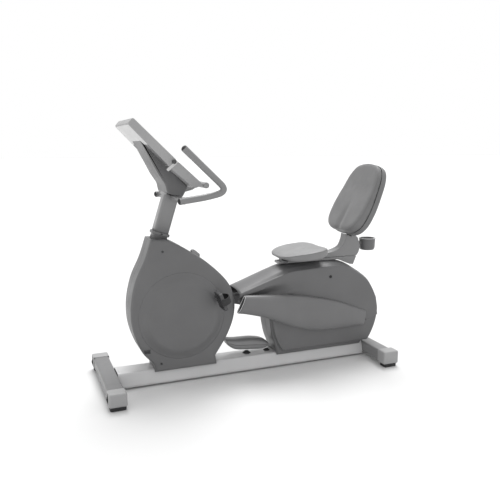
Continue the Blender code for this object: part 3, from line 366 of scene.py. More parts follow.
def make(name, shape, finish, body="root", stands_for=(), facing=None, angle=35, origin=(0, 0, 0)):
    """A piece from points and faces, facing outward, on its body. An origin turns with the piece."""
    points, faces = shape
    mesh = bpy.data.meshes.new(name)
    mesh.from_pydata([tuple(p) for p in points], [], faces)
    work = bmesh.new()
    work.from_mesh(mesh)
    bmesh.ops.remove_doubles(work, verts=work.verts, dist=0.00001)
    bmesh.ops.recalc_face_normals(work, faces=work.faces)
    if facing is not None:
        total = sum((face.normal * face.calc_area() for face in work.faces), Vector())
        if total.dot(Vector(facing)) < 0:
            bmesh.ops.reverse_faces(work, faces=work.faces)
    work.to_mesh(mesh)
    work.free()
    mesh.transform(Matrix.Translation(SHIFT - Vector(origin)))
    made = bpy.data.objects.new(name, mesh)
    bpy.context.scene.collection.objects.link(made)
    made.location = origin
    mesh.materials.append(MATERIALS[finish])
    soften(made, angle)
    return settle(made, body, stands_for)


def settle(made, body, stands_for):
    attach(made, body)
    if stands_for:
        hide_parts(*stands_for)
    return made


def moulding(name, outline, low, high, radius, finish, place=SIDE_VIEW, centre=(0, 0, 0), **how):
    """A plate or block with rounded edges, cut to an outline and laid by three axes."""
    rows = [row @ place + np.array(centre) for row in edge_rows(np.array(outline), low, high, radius)]
    return make(name, lofted(rows), finish, **how)


def turned(name, profile, centre, axis, finish, steps=72, loop=False, **how):
    """A body of revolution: profile points are (radius, distance along the axis)."""
    axis = Vector(axis).normalized()
    side = axis.orthogonal().normalized()
    other = axis.cross(side)
    rows = []
    for step in range(steps):
        turn = math.tau * step / steps
        out = side * math.cos(turn) + other * math.sin(turn)
        rows.append(np.array([Vector(centre) + out * r + axis * along for r, along in profile]))
    points, faces = lofted([*rows, rows[0]], closed=loop, caps=(False, False))
    return make(name, (points, faces), finish, **how)


def tube(name, route, radius, finish, sides=20, caps=(True, True), closed=False, **how):
    """A round tube along a smooth route, with flat ends."""
    route = [Vector(point) for point in route]
    count = len(route)
    rows = []
    side = None
    for i, point in enumerate(route):
        ahead = route[(i + 1) % count] if closed or i + 1 < count else point
        behind = route[i - 1] if closed or i else point
        along = (ahead - behind).normalized()
        if side is None:
            side = along.orthogonal()
        side = (side - along * side.dot(along)).normalized()
        other = along.cross(side)
        turns = [math.tau * step / sides for step in range(sides)]
        rows.append(
            np.array([point + (side * math.cos(t) + other * math.sin(t)) * radius for t in turns])
        )
    if closed:
        rows.append(rows[0])
        caps = (False, False)
    return make(name, lofted(rows, caps=caps), finish, **how)


def thicken(made, wall):
    shell = made.modifiers.new("wall", "SOLIDIFY")
    shell.thickness = wall
    shell.offset = -1
    return made


def rounder(made, levels=1):
    smooth = made.modifiers.new("smooth", "SUBSURF")
    smooth.levels = levels
    smooth.render_levels = levels
    return made


def bake(made):
    """Makes a piece's modifiers part of its mesh."""
    graph = bpy.context.evaluated_depsgraph_get()
    mesh = bpy.data.meshes.new_from_object(made.evaluated_get(graph), depsgraph=graph)
    made.modifiers.clear()
    made.data = mesh
    return made


def carve(made, size, centre):
    """Cuts a box-shaped hole in a piece."""
    cutter_mesh = bpy.data.meshes.new("cutter")
    work = bmesh.new()
    bmesh.ops.create_cube(work, size=1)
    bmesh.ops.scale(work, vec=size, verts=work.verts)
    bmesh.ops.translate(work, vec=Vector(centre) + SHIFT, verts=work.verts)
    work.to_mesh(cutter_mesh)
    work.free()
    cutter = bpy.data.objects.new("cutter", cutter_mesh)
    bpy.context.scene.collection.objects.link(cutter)
    hole = made.modifiers.new("hole", "BOOLEAN")
    hole.object = cutter
    hole.operation = "DIFFERENCE"
    bake(made)
    bpy.data.objects.remove(cutter)
    return made


def dish(name, outline, half, side, radius, crown, centre, stands_for):
    """Half a housing: a chamfered seam edge, a wall, a rounded rim and a crowned face."""
    outline = np.array(outline)
    levels = [(SEAM_CHAMFER, SEAM_GAP), (0.0, SEAM_GAP + SEAM_CHAMFER)]
    for step in range(9):
        turn = math.pi / 2 * step / 8
        levels.append((radius * (1 - math.cos(turn)), half - radius * (1 - math.sin(turn))))
    rings = [(offset(outline, back), level) for back, level in levels]
    flat = rings[-1][0]
    for share in (0.93, 0.8, 0.65, 0.5, 0.35, 0.2, 0.08):
        rise = crown * (1 - share**2) ** 0.8
        rings.append((centre + (flat - centre) * share, half + rise))
    rows = [np.c_[ring[:, 0], np.full(len(ring), side * level), ring[:, 1]] for ring, level in rings]
    shape = lofted(rows, caps=(False, True))
    made = make(name, shape, "panel_plastic", stands_for=stands_for, facing=(0, side, 0))
    return thicken(made, 0.003)

# ---------------------------------------------------------------- housings
def front_housing():
    """Both halves of the drop-shaped front housing and the round crank covers."""
    foot = BEAM_TOP - 0.012
    front = smooth_line(
        [(-0.556, 0.763), (-0.590, 0.665), (-0.640, 0.555), (-0.666, 0.430), (-0.660, 0.310),
         (-0.618, 0.192), (-0.562, 0.122)]
    )
    rear = smooth_line(
        [(-0.226, 0.122), (-0.160, 0.225), (-0.120, 0.330), (-0.119, 0.430), (-0.160, 0.525),
         (-0.270, 0.633), (-0.390, 0.714), (-0.470, 0.758)]
    )
    base = np.array([(-0.553, 0.108), (-0.553, foot), (-0.218, foot)])
    outline = np.vstack([front, base, rear])
    middle = np.array((-0.39, 0.40))
    for hand, side in SIDES:
        name = "front_housing_" + hand
        half = dish(name, outline, FRONT_HALF, side, 0.014, 0.0003, middle, ["front_shell_" + hand])
        if side < 0:
            carve(half, (0.033, 0.060, 0.022), INLET)
    for hand, side in SIDES:
        crank_cover(hand, side)
    screw("front_screw_low", (-0.520, -FRONT_HALF, 0.118), (0, -1, 0))
    screw("front_screw_high", (-0.500, -FRONT_HALF, 0.700), (0, -1, 0))
    pod = rounded([(-0.332, 0.662), (-0.330, 0.686), (-0.316, 0.690), (-0.286, 0.664), (-0.288, 0.640)], 0.0045)
    moulding("housing_latch", pod, -0.014, 0.014, 0.002, "trim_plastic")


def crank_cover(hand, side):
    face = FRONT_HALF + 0.0165
    rim = FRONT_HALF + 0.0008
    profile = [(0.0, face + 0.0015), (0.08, face + 0.0013), (0.13, face + 0.0006)]
    for step in range(13):
        fall = (1 - math.cos(math.pi * step / 12)) / 2
        profile.append((DISC_RADIUS - 0.055 * (1 - step / 12), face - (face - rim) * fall))
    cover = turned(
        "crank_cover_" + hand, profile, CRANK, (0, side, 0), "panel_plastic", steps=128,
        body="crank_set", stands_for=["crank_disc_" + hand], facing=(0, side, 0),
    )
    thicken(cover, 0.0025)
    pedal = PEDALS[hand]
    boss = [(0.0085, -0.014), (0.017, -0.014), (0.0155, 0.0035), (0.012, 0.005), (0.0085, 0.005)]
    turned(
        "pedal_boss_" + hand, boss, (pedal[0], side * face, pedal[2]), (0, side, 0), "dark_plastic",
        steps=40, loop=True, body="crank_set",
    )


def screw(name, place, axis, radius=0.0060, body="root", finish="rubber"):
    """A countersunk recess ring with a domed screw head in it."""
    profile = [(0.0, 0.0012), (radius * 0.45, 0.0010), (radius * 0.62, 0.0002), (radius * 0.66, -0.002)]
    profile += [(radius * 0.75, -0.002), (radius * 0.80, 0.0006), (radius, 0.0009), (radius * 1.12, -0.001)]
    turned(name, profile, place, axis, finish, steps=32, body=body, facing=axis)


def rear_housing():
    foot = BEAM_TOP - 0.012
    front = smooth_line([(0.175, 0.530), (0.118, 0.420), (0.090, 0.300), (0.104, 0.190), (0.132, 0.110)])
    rear = smooth_line(
        [(0.690, 0.098), (0.752, 0.150), (0.783, 0.240), (0.778, 0.300), (0.738, 0.375), (0.655, 0.472),
         (0.590, 0.525)]
    )
    base = np.array([(0.136, foot), (0.665, foot)])
    crown = np.array([(0.480, 0.548), (0.260, 0.552)])
    outline = np.vstack([front, base, rear, crown])
    for hand, side in SIDES:
        dish(
            "rear_housing_" + hand, outline, REAR_HALF, side, 0.011, 0.005, np.array((0.43, 0.32)),
            ["rear_shell_" + hand],
        )
        flank(hand, side)


def flank(hand, side):
    """The raised round field on the rear housing's side, cut off level above the beam."""
    turns = np.linspace(math.radians(-36), math.radians(216), 120)
    outline = np.c_[0.436 + 0.338 * np.cos(turns), 0.298 + 0.338 * np.sin(turns)]
    outline[:, 1] = np.minimum(outline[:, 1], 0.30 + 0.6 * (outline[:, 1] - 0.30))
    edge = np.interp(outline[:, 1], (0.250, 0.305, 0.360, 0.412, 0.479), (0.7835, 0.7745, 0.764, 0.743, 0.697))
    outline[:, 0] = np.minimum(outline[:, 0], edge - 0.004)
    dish(
        "rear_flank_" + hand, outline, FLANK_HALF, side, 0.010, 0.003, np.array((0.43, 0.27)), (),
    )


def shroud_stations():
    """Top x and z, shoulder drop, low x and z, how far the flank tucks in, and half width."""
    return smooth_line(
        [
            (-0.098, 0.4675, 0.016, -0.098, 0.395, 0.026, 0.104), (-0.030, 0.4930, 0.019, -0.030, 0.395, 0.030, 0.104),
            (0.050, 0.5245, 0.023, 0.050, 0.392, 0.030, 0.104), (0.130, 0.5555, 0.028, 0.130, 0.385, 0.024, 0.104),
            (0.210, 0.5780, 0.028, 0.210, 0.370, 0.014, 0.104), (0.320, 0.5795, 0.023, 0.320, 0.350, 0.008, 0.104),
            (0.450, 0.5795, 0.018, 0.430, 0.325, 0.003, 0.104), (0.545, 0.5700, 0.016, 0.500, 0.312, 0.0, 0.103),
            (0.610, 0.5400, 0.016, 0.560, 0.300, 0.0, 0.103), (0.697, 0.4790, 0.016, 0.605, 0.285, 0.0, 0.103),
            (0.743, 0.4120, 0.014, 0.640, 0.265, 0.0, 0.102), (0.764, 0.3600, 0.012, 0.665, 0.250, 0.0, 0.100),
            (0.7745, 0.3050, 0.010, 0.680, 0.235, 0.0, 0.098), (0.7835, 0.2500, 0.008, 0.688, 0.220, 0.0, 0.095),
        ],
        steps=5,
    )


def top_shroud():
    """The hood over both housings: a crowned top, a crisp shoulder and flanks that tuck in."""
    rows = []
    for top_x, top_z, drop, low_x, low_z, tuck, width in shroud_stations():
        top = np.array((top_x, top_z))
        low = np.array((low_x, low_z))
        height = np.linalg.norm(top - low)
        shoulder = 1 - (drop + 0.009) / height
        half = []
        for step in range(9):
            t = step / 8
            inward = tuck * math.sin(math.pi * min(t * 1.25, 1)) ** 1.5
            half.append((width - inward - 0.004 * t * t, t * shoulder))
        for step in range(1, 6):
            turn = math.pi / 2 * step / 5
            half.append((width - 0.004 - 0.010 * (1 - math.cos(turn)), shoulder + math.sin(turn) * 0.009 / height))
        for t in np.linspace(0.88, 0, 9)[1:]:
            half.append(((width - 0.014) * t / 0.88, 1 - drop / height * t**2))
        section = [(-y, h) for y, h in half] + [(y, h) for y, h in reversed(half[:-1])]
        side = np.array([low + (top - low) * h for _, h in section])
        rows.append(np.c_[side[:, 0], [y for y, _ in section], side[:, 1]])
    shroud = make(
        "shroud_hood", lofted(rows, closed=False, caps=(False, False)), "panel_plastic",
        stands_for=["top_shroud"], facing=(0, 0, 1),
    )
    thicken(shroud, 0.003)
    for hand, side in SIDES:
        screw("shroud_screw_" + hand, (0.446, side * 0.1035, 0.501), (0, side, 0.12), radius=0.0075)


def wing_ring(side, x, middle, half, outer, lean, steps=24):
    inner = 0.1045 - 0.010 * min(max((x - 0.35) / 0.32, 0.0), 1.0)
    ring = [np.array((x - lean, side * inner, middle - half))]
    for step in range(steps + 1):
        turn = math.pi * (step / steps - 0.5)
        bulge = max(math.cos(turn), 0.0) ** 0.6
        y = inner + (outer - inner) * (0.25 + 0.75 * bulge)
        ring.append(np.array((x + lean * math.sin(turn), side * y, middle + half * math.sin(turn))))
    ring.append(np.array((x + lean, side * inner, middle + half)))
    return np.array(ring)


def wing(hand, side):
    """A hollow side fin with an open, lipped mouth in front. The lip is pale, a painted highlight, and the mouth is
    lined dark, painted shade.
    """
    stations = smooth_line(
        [
            (-0.094, 0.398, 0.042, 0.137, 0.020), (-0.040, 0.391, 0.047, 0.145, 0.014),
            (0.060, 0.372, 0.060, 0.151, 0.005), (0.200, 0.335, 0.084, 0.148, 0.0),
            (0.340, 0.302, 0.090, 0.140, 0.0), (0.500, 0.276, 0.074, 0.128, -0.004),
            (0.671, 0.240, 0.038, 0.114, 0.007),
        ],
        steps=7,
    )
    rows = [wing_ring(side, *station) for station in stations]
    shape = lofted(rows, caps=(False, True))
    fin = make("side_fin_" + hand, shape, "fin_plastic", stands_for=["wing_" + hand], facing=(0, side, 0))
    thicken(fin, 0.004)
    mouth = stations[0] + np.array((0.001, 0, -0.004, -0.004, 0))
    deep = stations[7] + np.array((0.0, 0, -0.012, -0.012, 0))
    throat = [wing_ring(side, *station) for station in (mouth, (mouth + deep) / 2, deep)]
    centre = throat[0].mean(0)
    # A dark lining inside the fin's mouth: painted shade for the dark of the hollow.
    shade_lining = lofted([row + (centre - row) * 0.07 for row in throat], caps=(False, True))
    made = make("fin_mouth_shade_" + hand, shade_lining, "dark_plastic", facing=(-1, 0, 0))
    thicken(made, 0.001)
    # The pale ring round the mouth is a painted highlight for the light on the mouth's rim.
    highlight_ring = rows[0] + (centre - rows[0]) * 0.03
    tube("fin_highlight_rim_" + hand, highlight_ring, 0.0026, "pale_plastic_and_painted_highlight", sides=10, closed=True)


def step_pod():
    """The streamlined cover of the link between the housings."""
    stations = smooth_line(
        [
            (-0.150, 0.176, 0.006), (-0.135, 0.166, 0.020), (-0.090, 0.150, 0.031),
            (0.000, 0.143, 0.034), (0.060, 0.135, 0.030), (0.093, 0.130, 0.017), (0.102, 0.128, 0.006),
        ],
        steps=5,
    )
    rows = []
    for x, middle, half in stations:
        width = 0.030 + half * 0.5
        turns = np.linspace(0, math.tau, 33)[:-1]
        y = width * np.sign(np.cos(turns)) * np.abs(np.cos(turns)) ** 0.7
        z = middle + half * np.sign(np.sin(turns)) * np.abs(np.sin(turns)) ** 0.8
        rows.append(np.c_[np.full(32, x), y, z])
    make("link_cover", lofted(rows), "frame_paint", stands_for=["step_pod"])
    line = [row[16] for row in rows[6:-6]]
    tube("link_seam", line, 0.0012, "dark_plastic", sides=8)


# ---------------------------------------------------------------- mast and console
def lean_axes(start, end):
    """Rows: across the bike, along the line from start to end, and out of that plane."""
    along = np.array((end[0] - start[0], 0, end[1] - start[1]))
    along /= np.linalg.norm(along)
    across = np.array((0.0, 1.0, 0.0))
    return np.array([across, along, np.cross(across, along)])


def mast():
    foot = np.array((-0.506, 0, 0.745))
    top = np.array((-0.4345, 0, 0.972))
    axes = lean_axes((foot[0], foot[2]), (top[0], top[2]))
    section = rounded([(-0.039, -0.037), (0.039, -0.037), (0.039, 0.037), (-0.039, 0.037)], 0.018, steps=8)
    rows = []
    for share in (0.0, 1.0):
        centre = foot + (top - foot) * share
        rows.append(np.array([centre + axes[2] * a + axes[0] * b for a, b in section]))
    thicken(
        make("mast_tube", lofted(rows, caps=(False, True)), "frame_paint", stands_for=["mast"],
             facing=None), 0.0025,
    )
    outer = rounded([(-0.0465, -0.0445), (0.0465, -0.0445), (0.0465, 0.0445), (-0.0465, 0.0445)], 0.024, steps=8)
    place = np.array([axes[2], axes[0], axes[1]])
    centre = foot + axes[1] * 0.040
    moulding(
        "mast_ring", outer, -0.0073, 0.0073, 0.003, "panel_plastic", place=place, centre=centre,
        stands_for=["mast_collar"],
    )
    screw("mast_screw", foot + axes[1] * 0.040 + np.array((0, -0.0447, 0)), (0, -1, 0), 0.005)


def console():
    """Slab, a pale rear plate that is a painted highlight on the upper rear face, a grey plate below it, bezel, keypad
    and the cover that joins them to the mast.
    """
    body = rounded([(-0.645, 1.348), (-0.670, 1.319), (-0.4775, 1.1205), (-0.4405, 1.1505)], 0.010)
    moulding("console_slab", body, -0.1795, 0.1795, 0.005, "trim_plastic", stands_for=["console_body"])
    # The upper part of the slab's rear face is made pale to stand for the light it catches: a painted highlight.
    rear_plate("console_rear_highlight_plate", 0.02, 0.47, "pale_plastic_and_painted_highlight")
    rear_plate("console_rear_lower", 0.475, 0.96, "panel_plastic")
    keypad = rounded([(-0.4390, 1.1490), (-0.4750, 1.1180), (-0.360, 1.016), (-0.312, 1.034)], 0.014)
    moulding("keypad_block", keypad, -0.1795, 0.1795, 0.005, "trim_plastic", stands_for=["console_keypad"])
    back = rounded(
        [(-0.606, 1.258), (-0.574, 1.199), (-0.514, 1.082), (-0.482, 1.034), (-0.474, 0.992),
         (-0.398, 0.968), (-0.368, 1.0210), (-0.460, 1.115), (-0.582, 1.250)],
        0.009,
    )
    moulding("rear_cover", back, -0.0995, 0.0995, 0.007, "panel_plastic", stands_for=["console_back"])
    ledge = [(0.0, -0.1700), (0.012, -0.1700), (0.0145, -0.1685), (0.0150, -0.1655), (0.0150, 0.1655)]
    ledge += [(0.0145, 0.1685), (0.012, 0.1700), (0.0, 0.1700)]
    turned("ledge_roller", ledge, (-0.2955, 0, 1.0300), (0, 1, 0), "trim_plastic", steps=48, stands_for=["book_ledge"])
    knob_and_bracket()
    screen()


def rear_plate(name, start, end, finish):
    """A thin plate on the slab's rear face, from one share of the way down it to another."""
    high = np.array((-0.670, 1.319))
    low = np.array((-0.4775, 1.1205))
    out = np.array((high[1] - low[1], low[0] - high[0])) * -1
    out /= np.linalg.norm(out)
    first, last = high + (low - high) * start, high + (low - high) * end
    corners = [first + out * 0.0012, last + out * 0.0012, last - out * 0.003, first - out * 0.003]
    moulding(name, rounded(corners, 0.0015, steps=2), -0.176, 0.176, 0.0007, finish)


def face_axes():
    """Across, up the console's face, and out of it towards the rider."""
    return lean_axes((-0.440, 1.150), (-0.645, 1.348))


def screen():
    """A bezel around the lens."""
    axes = face_axes()
    centre = np.array((-0.5425, 0, 1.249))
    outer = rounded([(-0.158, -0.112), (0.158, -0.112), (0.158, 0.112), (-0.158, 0.112)], 0.016)
    inner = rounded([(-0.146, -0.101), (0.146, -0.101), (0.146, 0.101), (-0.146, 0.101)], 0.010)
    levels = ((outer, 0.0), (outer, 0.0016), (offset(outer, 0.0012), 0.0026), (inner, 0.0022), (inner, 0.0))
    rows = [np.c_[line, np.full(len(line), level)] @ axes + centre for line, level in levels]
    make("screen_bezel", lofted(rows, caps=(False, False)), "dark_plastic", facing=axes[2])


def knob_and_bracket():
    """The clamp knob and its bracket under the slab's lower edge, on both sides."""
    for hand, side in SIDES:
        knob = [(0.0, 0.012), (0.006, 0.0118), (0.0095, 0.010), (0.0105, 0.006), (0.0105, 0.001), (0.0, 0.001)]
        turned("clamp_knob_" + hand, knob, (-0.458, side * 0.1800, 1.146), (0, side, 0), "dark_plastic", steps=40)
        strap = rounded([(-0.496, 1.111), (-0.487, 1.100), (-0.443, 1.137), (-0.450, 1.149)], 0.004)
        low, high = sorted((side * 0.1770, side * 0.1825))
        moulding("clamp_bracket_" + hand, strap, low, high, 0.002, "pale_plastic_and_painted_highlight")


def handlebar():
    for hand, side in SIDES:
        y = side * 0.243
        corners = [(-0.452, y, 0.962), (-0.300, y, 0.982), (-0.212, y, 1.006), (-0.426, y, 1.209)]
        bend = rounded(corners, 0.052, steps=14, closed=False)
        tube("side_bar_" + hand, bend, 0.016, "frame_paint", sides=36, stands_for=["handle_arm_" + hand])
        plug(hand + "_upper", bend[-1], bend[-1] - bend[-2], "grip_cap_" + hand)
        plug(hand + "_lower", bend[0], bend[0] - bend[1], None)
    half = 0.2265
    route = [(-0.426, y, 0.9635) for y in np.linspace(-half, half, 9)]
    tube("cross_bar", route, 0.0145, "frame_paint", sides=36, stands_for=["handlebar_cross"])
    for hand, side in SIDES:
        weld = [(0.0146, 0.0), (0.0172, 0.0), (0.0176, 0.002), (0.0146, 0.006)]
        centre = (-0.426, side * (half + 0.0008), 0.9635)
        turned("bar_weld_" + hand, weld, centre, (0, -side, 0), "frame_paint", steps=40, loop=True)


def plug(name, end, outward, node):
    """A domed black plug pushed into a tube's end."""
    outward = outward / np.linalg.norm(outward)
    profile = [(0.0, 0.0092), (0.006, 0.0086), (0.0112, 0.0062), (0.0142, 0.0030), (0.0150, 0.0), (0.0150, -0.001)]
    turned(
        "end_plug_" + name, profile, end, outward, "rubber", steps=40, facing=outward,
        stands_for=[node] if node else (),
    )

# ---------------------------------------------------------------- frame
def floor_frame():
    """Feet and bolts around the steel bars; the bars and end caps stay as they are in the CAD."""
    for end in ("front", "rear"):
        for hand, _ in SIDES:
            rubber_foot(end, hand)
    for index, (x, size) in enumerate(((-0.020, 1.5), (0.100, 1.2))):
        dome = [(0.0, 0.009), (0.005, 0.0085), (0.0095, 0.006), (0.0115, 0.002), (0.0150, 0.0012), (0.0155, 0.0)]
        dome = [(radius * size, height * size) for radius, height in dome]
        turned(f"beam_bolt_{index + 1}", dome, (x, 0, BEAM_TOP - 0.0002), (0, 0, 1), "rubber", steps=40, facing=(0, 0, 1))


def rubber_foot(end, hand):
    """A rubber foot with a groove round it, under the bar's end."""
    foot_low = np.array(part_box(f"{end}_foot_{hand}")[0]) - np.array(SHIFT)
    foot_high = np.array(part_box(f"{end}_foot_{hand}")[1]) - np.array(SHIFT)
    pad = rounded(
        [(foot_low[0], foot_low[1]), (foot_high[0], foot_low[1]), (foot_high[0], foot_high[1]),
         (foot_low[0], foot_high[1])], 0.010,
    )
    rows = []
    for back, level in ((0.003, foot_low[2]), (0.0, foot_low[2] + 0.003), (0.0, foot_low[2] + 0.006),
                        (0.0015, foot_low[2] + 0.007), (0.0015, foot_low[2] + 0.009),
                        (0.0, foot_low[2] + 0.010), (0.0, foot_high[2])):
        ring = offset(pad, back)
        rows.append(np.c_[ring, np.full(len(ring), level)])
    make(f"{end}_pad_{hand}", lofted(rows), "rubber", stands_for=[f"{end}_foot_{hand}"])


# ---------------------------------------------------------------- pedals
def pedals():
    for hand, side in SIDES:
        pedal(hand, side)


def pedal(hand, side):
    """A ribbed platform on its spindle, and an adjustable strap."""
    centre = np.array(PEDALS[hand])
    body = hand + "_pedal"
    tilt = PEDAL_TILT
    out = np.array((math.cos(tilt), 0, math.sin(tilt)))
    down = np.array((math.sin(tilt), 0, -math.cos(tilt)))
    place = np.array([down, (0, 1, 0), out])
    plate = rounded([(-0.0478, -0.0455), (0.0478, -0.0455), (0.0478, 0.0455), (-0.0478, 0.0455)], 0.014, steps=8)
    moulding(
        "platform_" + hand, plate, -0.0085, 0.0085, 0.003, "dark_plastic", place=place, centre=centre,
        body=body, stands_for=["pedal_" + hand],
    )
    for index, along in enumerate(np.linspace(-0.036, 0.036, 7)):
        rib = rounded([(along - 0.0022, -0.038), (along + 0.0022, -0.038), (along + 0.0022, 0.038),
                       (along - 0.0022, 0.038)], 0.002, steps=3)
        moulding(
            f"tread_{hand}_{index + 1}", rib, -0.0108, 0.0108, 0.001, "rubber", place=place,
            centre=centre, body=body,
        )
    start = FRONT_HALF + 0.0175
    spindle = [(0.0, 0.0), (0.0068, 0.0), (0.0068, 0.012), (0.0085, 0.0125), (0.0085, 0.030), (0.0, 0.030)]
    turned(
        "spindle_" + hand, spindle, (centre[0], side * start, centre[2]), (0, side, 0), "steel",
        steps=32, body=body,
    )
    strap(hand, centre, place, body)


def strap(hand, centre, place, body):
    """A webbed rubber strap arched over the tread."""
    half = 0.0495
    arch = []
    for step in range(25):
        turn = math.pi * step / 24
        arch.append((-half * math.cos(turn), 0.0115 + 0.0360 * math.sin(turn) ** 0.9))
    arch = [(-half, -0.008), *arch, (half, -0.008)]
    rows = []
    for along, wall in ((-0.0168, 0.0), (-0.0168, 1.0), (0.0168, 1.0), (0.0168, 0.0)):
        shrink = 1 - 0.0028 * wall / half
        rows.append(np.array([(along, y * shrink, z - 0.0028 * wall * (z > 0)) for y, z in arch]) @ place + centre)
    rows.append(rows[0])
    points, faces = lofted(rows, closed=False, caps=(False, False))
    ends = [(0, len(arch), 2 * len(arch), 3 * len(arch))]
    ends.append(tuple(i + len(arch) - 1 for i in ends[0][::-1]))
    make("foot_strap_" + hand, (points, faces + ends), "rubber", body=body, stands_for=["pedal_strap_" + hand])


# ---------------------------------------------------------------- seat
def seat_arm():
    """The low carriage and the swept arm that carries the backrest, as one casting."""
    low = 0.580 + 0.0005 + 0.014 + 0.0005
    normal = np.array((math.cos(BACK_TILT), -math.sin(BACK_TILT)))
    up = np.array((math.sin(BACK_TILT), math.cos(BACK_TILT)))
    front = np.array((0.672, 0.914)) + normal * (0.0665 / 2 + 0.0005)
    behind = [front + up * reach for reach in (-0.190, -0.020)]
    beyond = [behind[1] + normal * 0.016, behind[0] + normal * 0.018]
    outline = np.vstack([
        [(0.186, low), (0.186, low + 0.012), (0.440, low + 0.014)],
        smooth_line([(0.455, 0.621), (0.505, 0.631), (0.555, 0.651), (0.576, 0.690), (0.583, 0.724)], 8),
        [(0.617, 0.7085)],
        behind, beyond,
        smooth_line([(0.662, 0.700), (0.676, 0.655), (0.671, 0.618), (0.656, low)], 8),
    ])
    moulding(
        "seat_arm", outline, -0.031, 0.031, 0.005, "frame_paint", body="seat_carriage",
        stands_for=["seat_frame"],
    )


def cup():
    """A drinks cup with a rolled rim, pale as a painted highlight, and a drain hole, on its ear."""
    profile = [
        (0.005, -0.031), (0.032, -0.031), (0.0385, -0.027), (0.0420, -0.018), (0.0440, 0.026),
        (0.0445, 0.0320), (0.0462, 0.0340), (0.0480, 0.0325), (0.0480, 0.0285), (0.0466, 0.0270),
        (0.0450, -0.020), (0.0400, -0.0325), (0.036, -0.034), (0.005, -0.034),
    ]
    turned(
        "drinks_cup", profile, (0.744, 0, 0.655), (0, 0, 1), "panel_plastic", loop=True,
        body="seat_carriage", stands_for=["bottle_holder"],
    )
    turns = np.linspace(0, math.tau, 17)[:-1]
    bead = [(0.0448 + 0.0032 * math.cos(turn), 0.0325 + 0.0032 * math.sin(turn)) for turn in turns]
    # The rim bead is pale: a painted highlight for the light on the cup's top.
    turned("cup_rim_highlight", bead, (0.744, 0, 0.655), (0, 0, 1), "pale_plastic_and_painted_highlight", loop=True, body="seat_carriage")
    ear = rounded([(0.6785, 0.657), (0.7000, 0.657), (0.7000, 0.673), (0.6785, 0.673)], 0.003)
    moulding("cup_ear", ear, -0.012, 0.012, 0.002, "panel_plastic", body="seat_carriage")


def grown(name, shape, finish, node, pressure, cap):
    """A cushion: a closed form remeshed, blown up a little by cloth pressure, and smoothed."""
    pad = make(name, shape, finish, body="seat_carriage", stands_for=[node], angle=180)
    remesh = pad.modifiers.new("even", "REMESH")
    remesh.mode = "VOXEL"
    remesh.voxel_size = 0.0055
    bake(pad)
    inflate(pad, pressure, cap)
    smooth = pad.modifiers.new("relax", "SMOOTH")
    smooth.factor = 0.5
    smooth.iterations = 4
    rounder(pad)
    bake(pad)
    pad.data.materials.clear()
    pad.data.materials.append(MATERIALS[finish])
    pad.data.shade_smooth()
    return pad


def inflate(pad, pressure, cap):
    """Twenty frames of cloth under air pressure. No point may move further than the cap."""
    before = points_of(pad.data)
    cloth = pad.modifiers.new("air", "CLOTH")
    cloth.settings.use_pressure = True
    cloth.settings.uniform_pressure_force = pressure
    cloth.settings.effector_weights.gravity = 0
    cloth.settings.tension_stiffness = 25
    cloth.settings.compression_stiffness = 25
    cloth.point_cache.frame_start = 1
    cloth.point_cache.frame_end = 20
    for step in range(1, 21):
        bpy.context.scene.frame_set(step)
    bake(pad)
    bpy.context.scene.frame_set(1)
    after = points_of(pad.data)
    move = after - before
    length = np.linalg.norm(move, axis=1)
    share = np.minimum(1, cap / np.maximum(length, 1e-9))
    place_points(pad.data, before + move * share[:, None])


def points_of(mesh):
    flat = np.empty(len(mesh.vertices) * 3)
    mesh.vertices.foreach_get("co", flat)
    return flat.reshape(-1, 3)


def place_points(mesh, points):
    mesh.vertices.foreach_set("co", points.reshape(-1))
    mesh.update()


def seat_outline(shrink=0.0):
    """Half-width of the saddle against its length: broad behind, tapering to the nose."""
    turns = np.linspace(0, math.tau, 97)[:-1]
    x = np.sign(np.cos(turns)) * np.abs(np.cos(turns)) ** 0.60
    y = np.sign(np.sin(turns)) * np.abs(np.sin(turns)) ** 0.54
    narrow = 1 - 0.20 * np.clip(-x, 0, 1) ** 1.2
    return np.c_[x * (0.140 - shrink), y * (0.170 - shrink) * narrow]


def seat_pad():
    """A wide saddle: dished top, upright sides with a sewn edge, and a nose that rolls under."""
    flat = seat_outline(0.003)
    reach = np.array((0.140, 0.170))
    rows = []
    levels = [(share, 0.0) for share in (0.03, 0.2, 0.4, 0.6, 0.75, 0.86, 0.93)]
    levels += [(0.968, 0.01), (0.990, 0.05), (1.0, 0.14), (1.0, 0.55), (0.995, 0.78), (0.975, 0.92), (0.93, 0.99)]
    levels += [(share, 1.0) for share in (0.8, 0.6, 0.4, 0.2, 0.03)]
    for share, depth in levels:
        ring = flat * share
        u, v = (ring / reach).T
        top = 0.002 + 0.013 * np.clip(u * u * 0.5 + v * v, 0, 1) + 0.004 * u - 0.014 * np.clip(-u, 0, 1) ** 2.5
        bottom = -0.031 + 0.016 * np.clip(-u - 0.40, 0, 1) ** 1.3 + 0.016 * np.clip(u - 0.5, 0, 1)
        rows.append(np.c_[ring, top * (1 - depth) + bottom * depth])
    pitch = np.array(Matrix.Rotation(-math.radians(4), 3, "Y"))
    rows = [row @ pitch.T + np.array((0.292, 0, 0.644)) for row in rows]
    pad = grown("seat_cushion", lofted(rows), "upholstery", "seat_pad", 3.0, 0.003)
    welt("seat_welt", pad, rows[9], 0.0015)


def welt(name, pad, route, radius):
    """A sewn bead round a cushion, laid on its surface at the nearest place to each point."""
    tree = BVHTree.FromObject(pad, bpy.context.evaluated_depsgraph_get())
    laid = []
    for point in route:
        place, normal = tree.find_nearest(Vector(point) + SHIFT)[:2]
        laid.append(place - SHIFT - normal * radius * 0.3)
    tube(name, laid, radius, "upholstery_dark", sides=10, closed=True, body="seat_carriage")


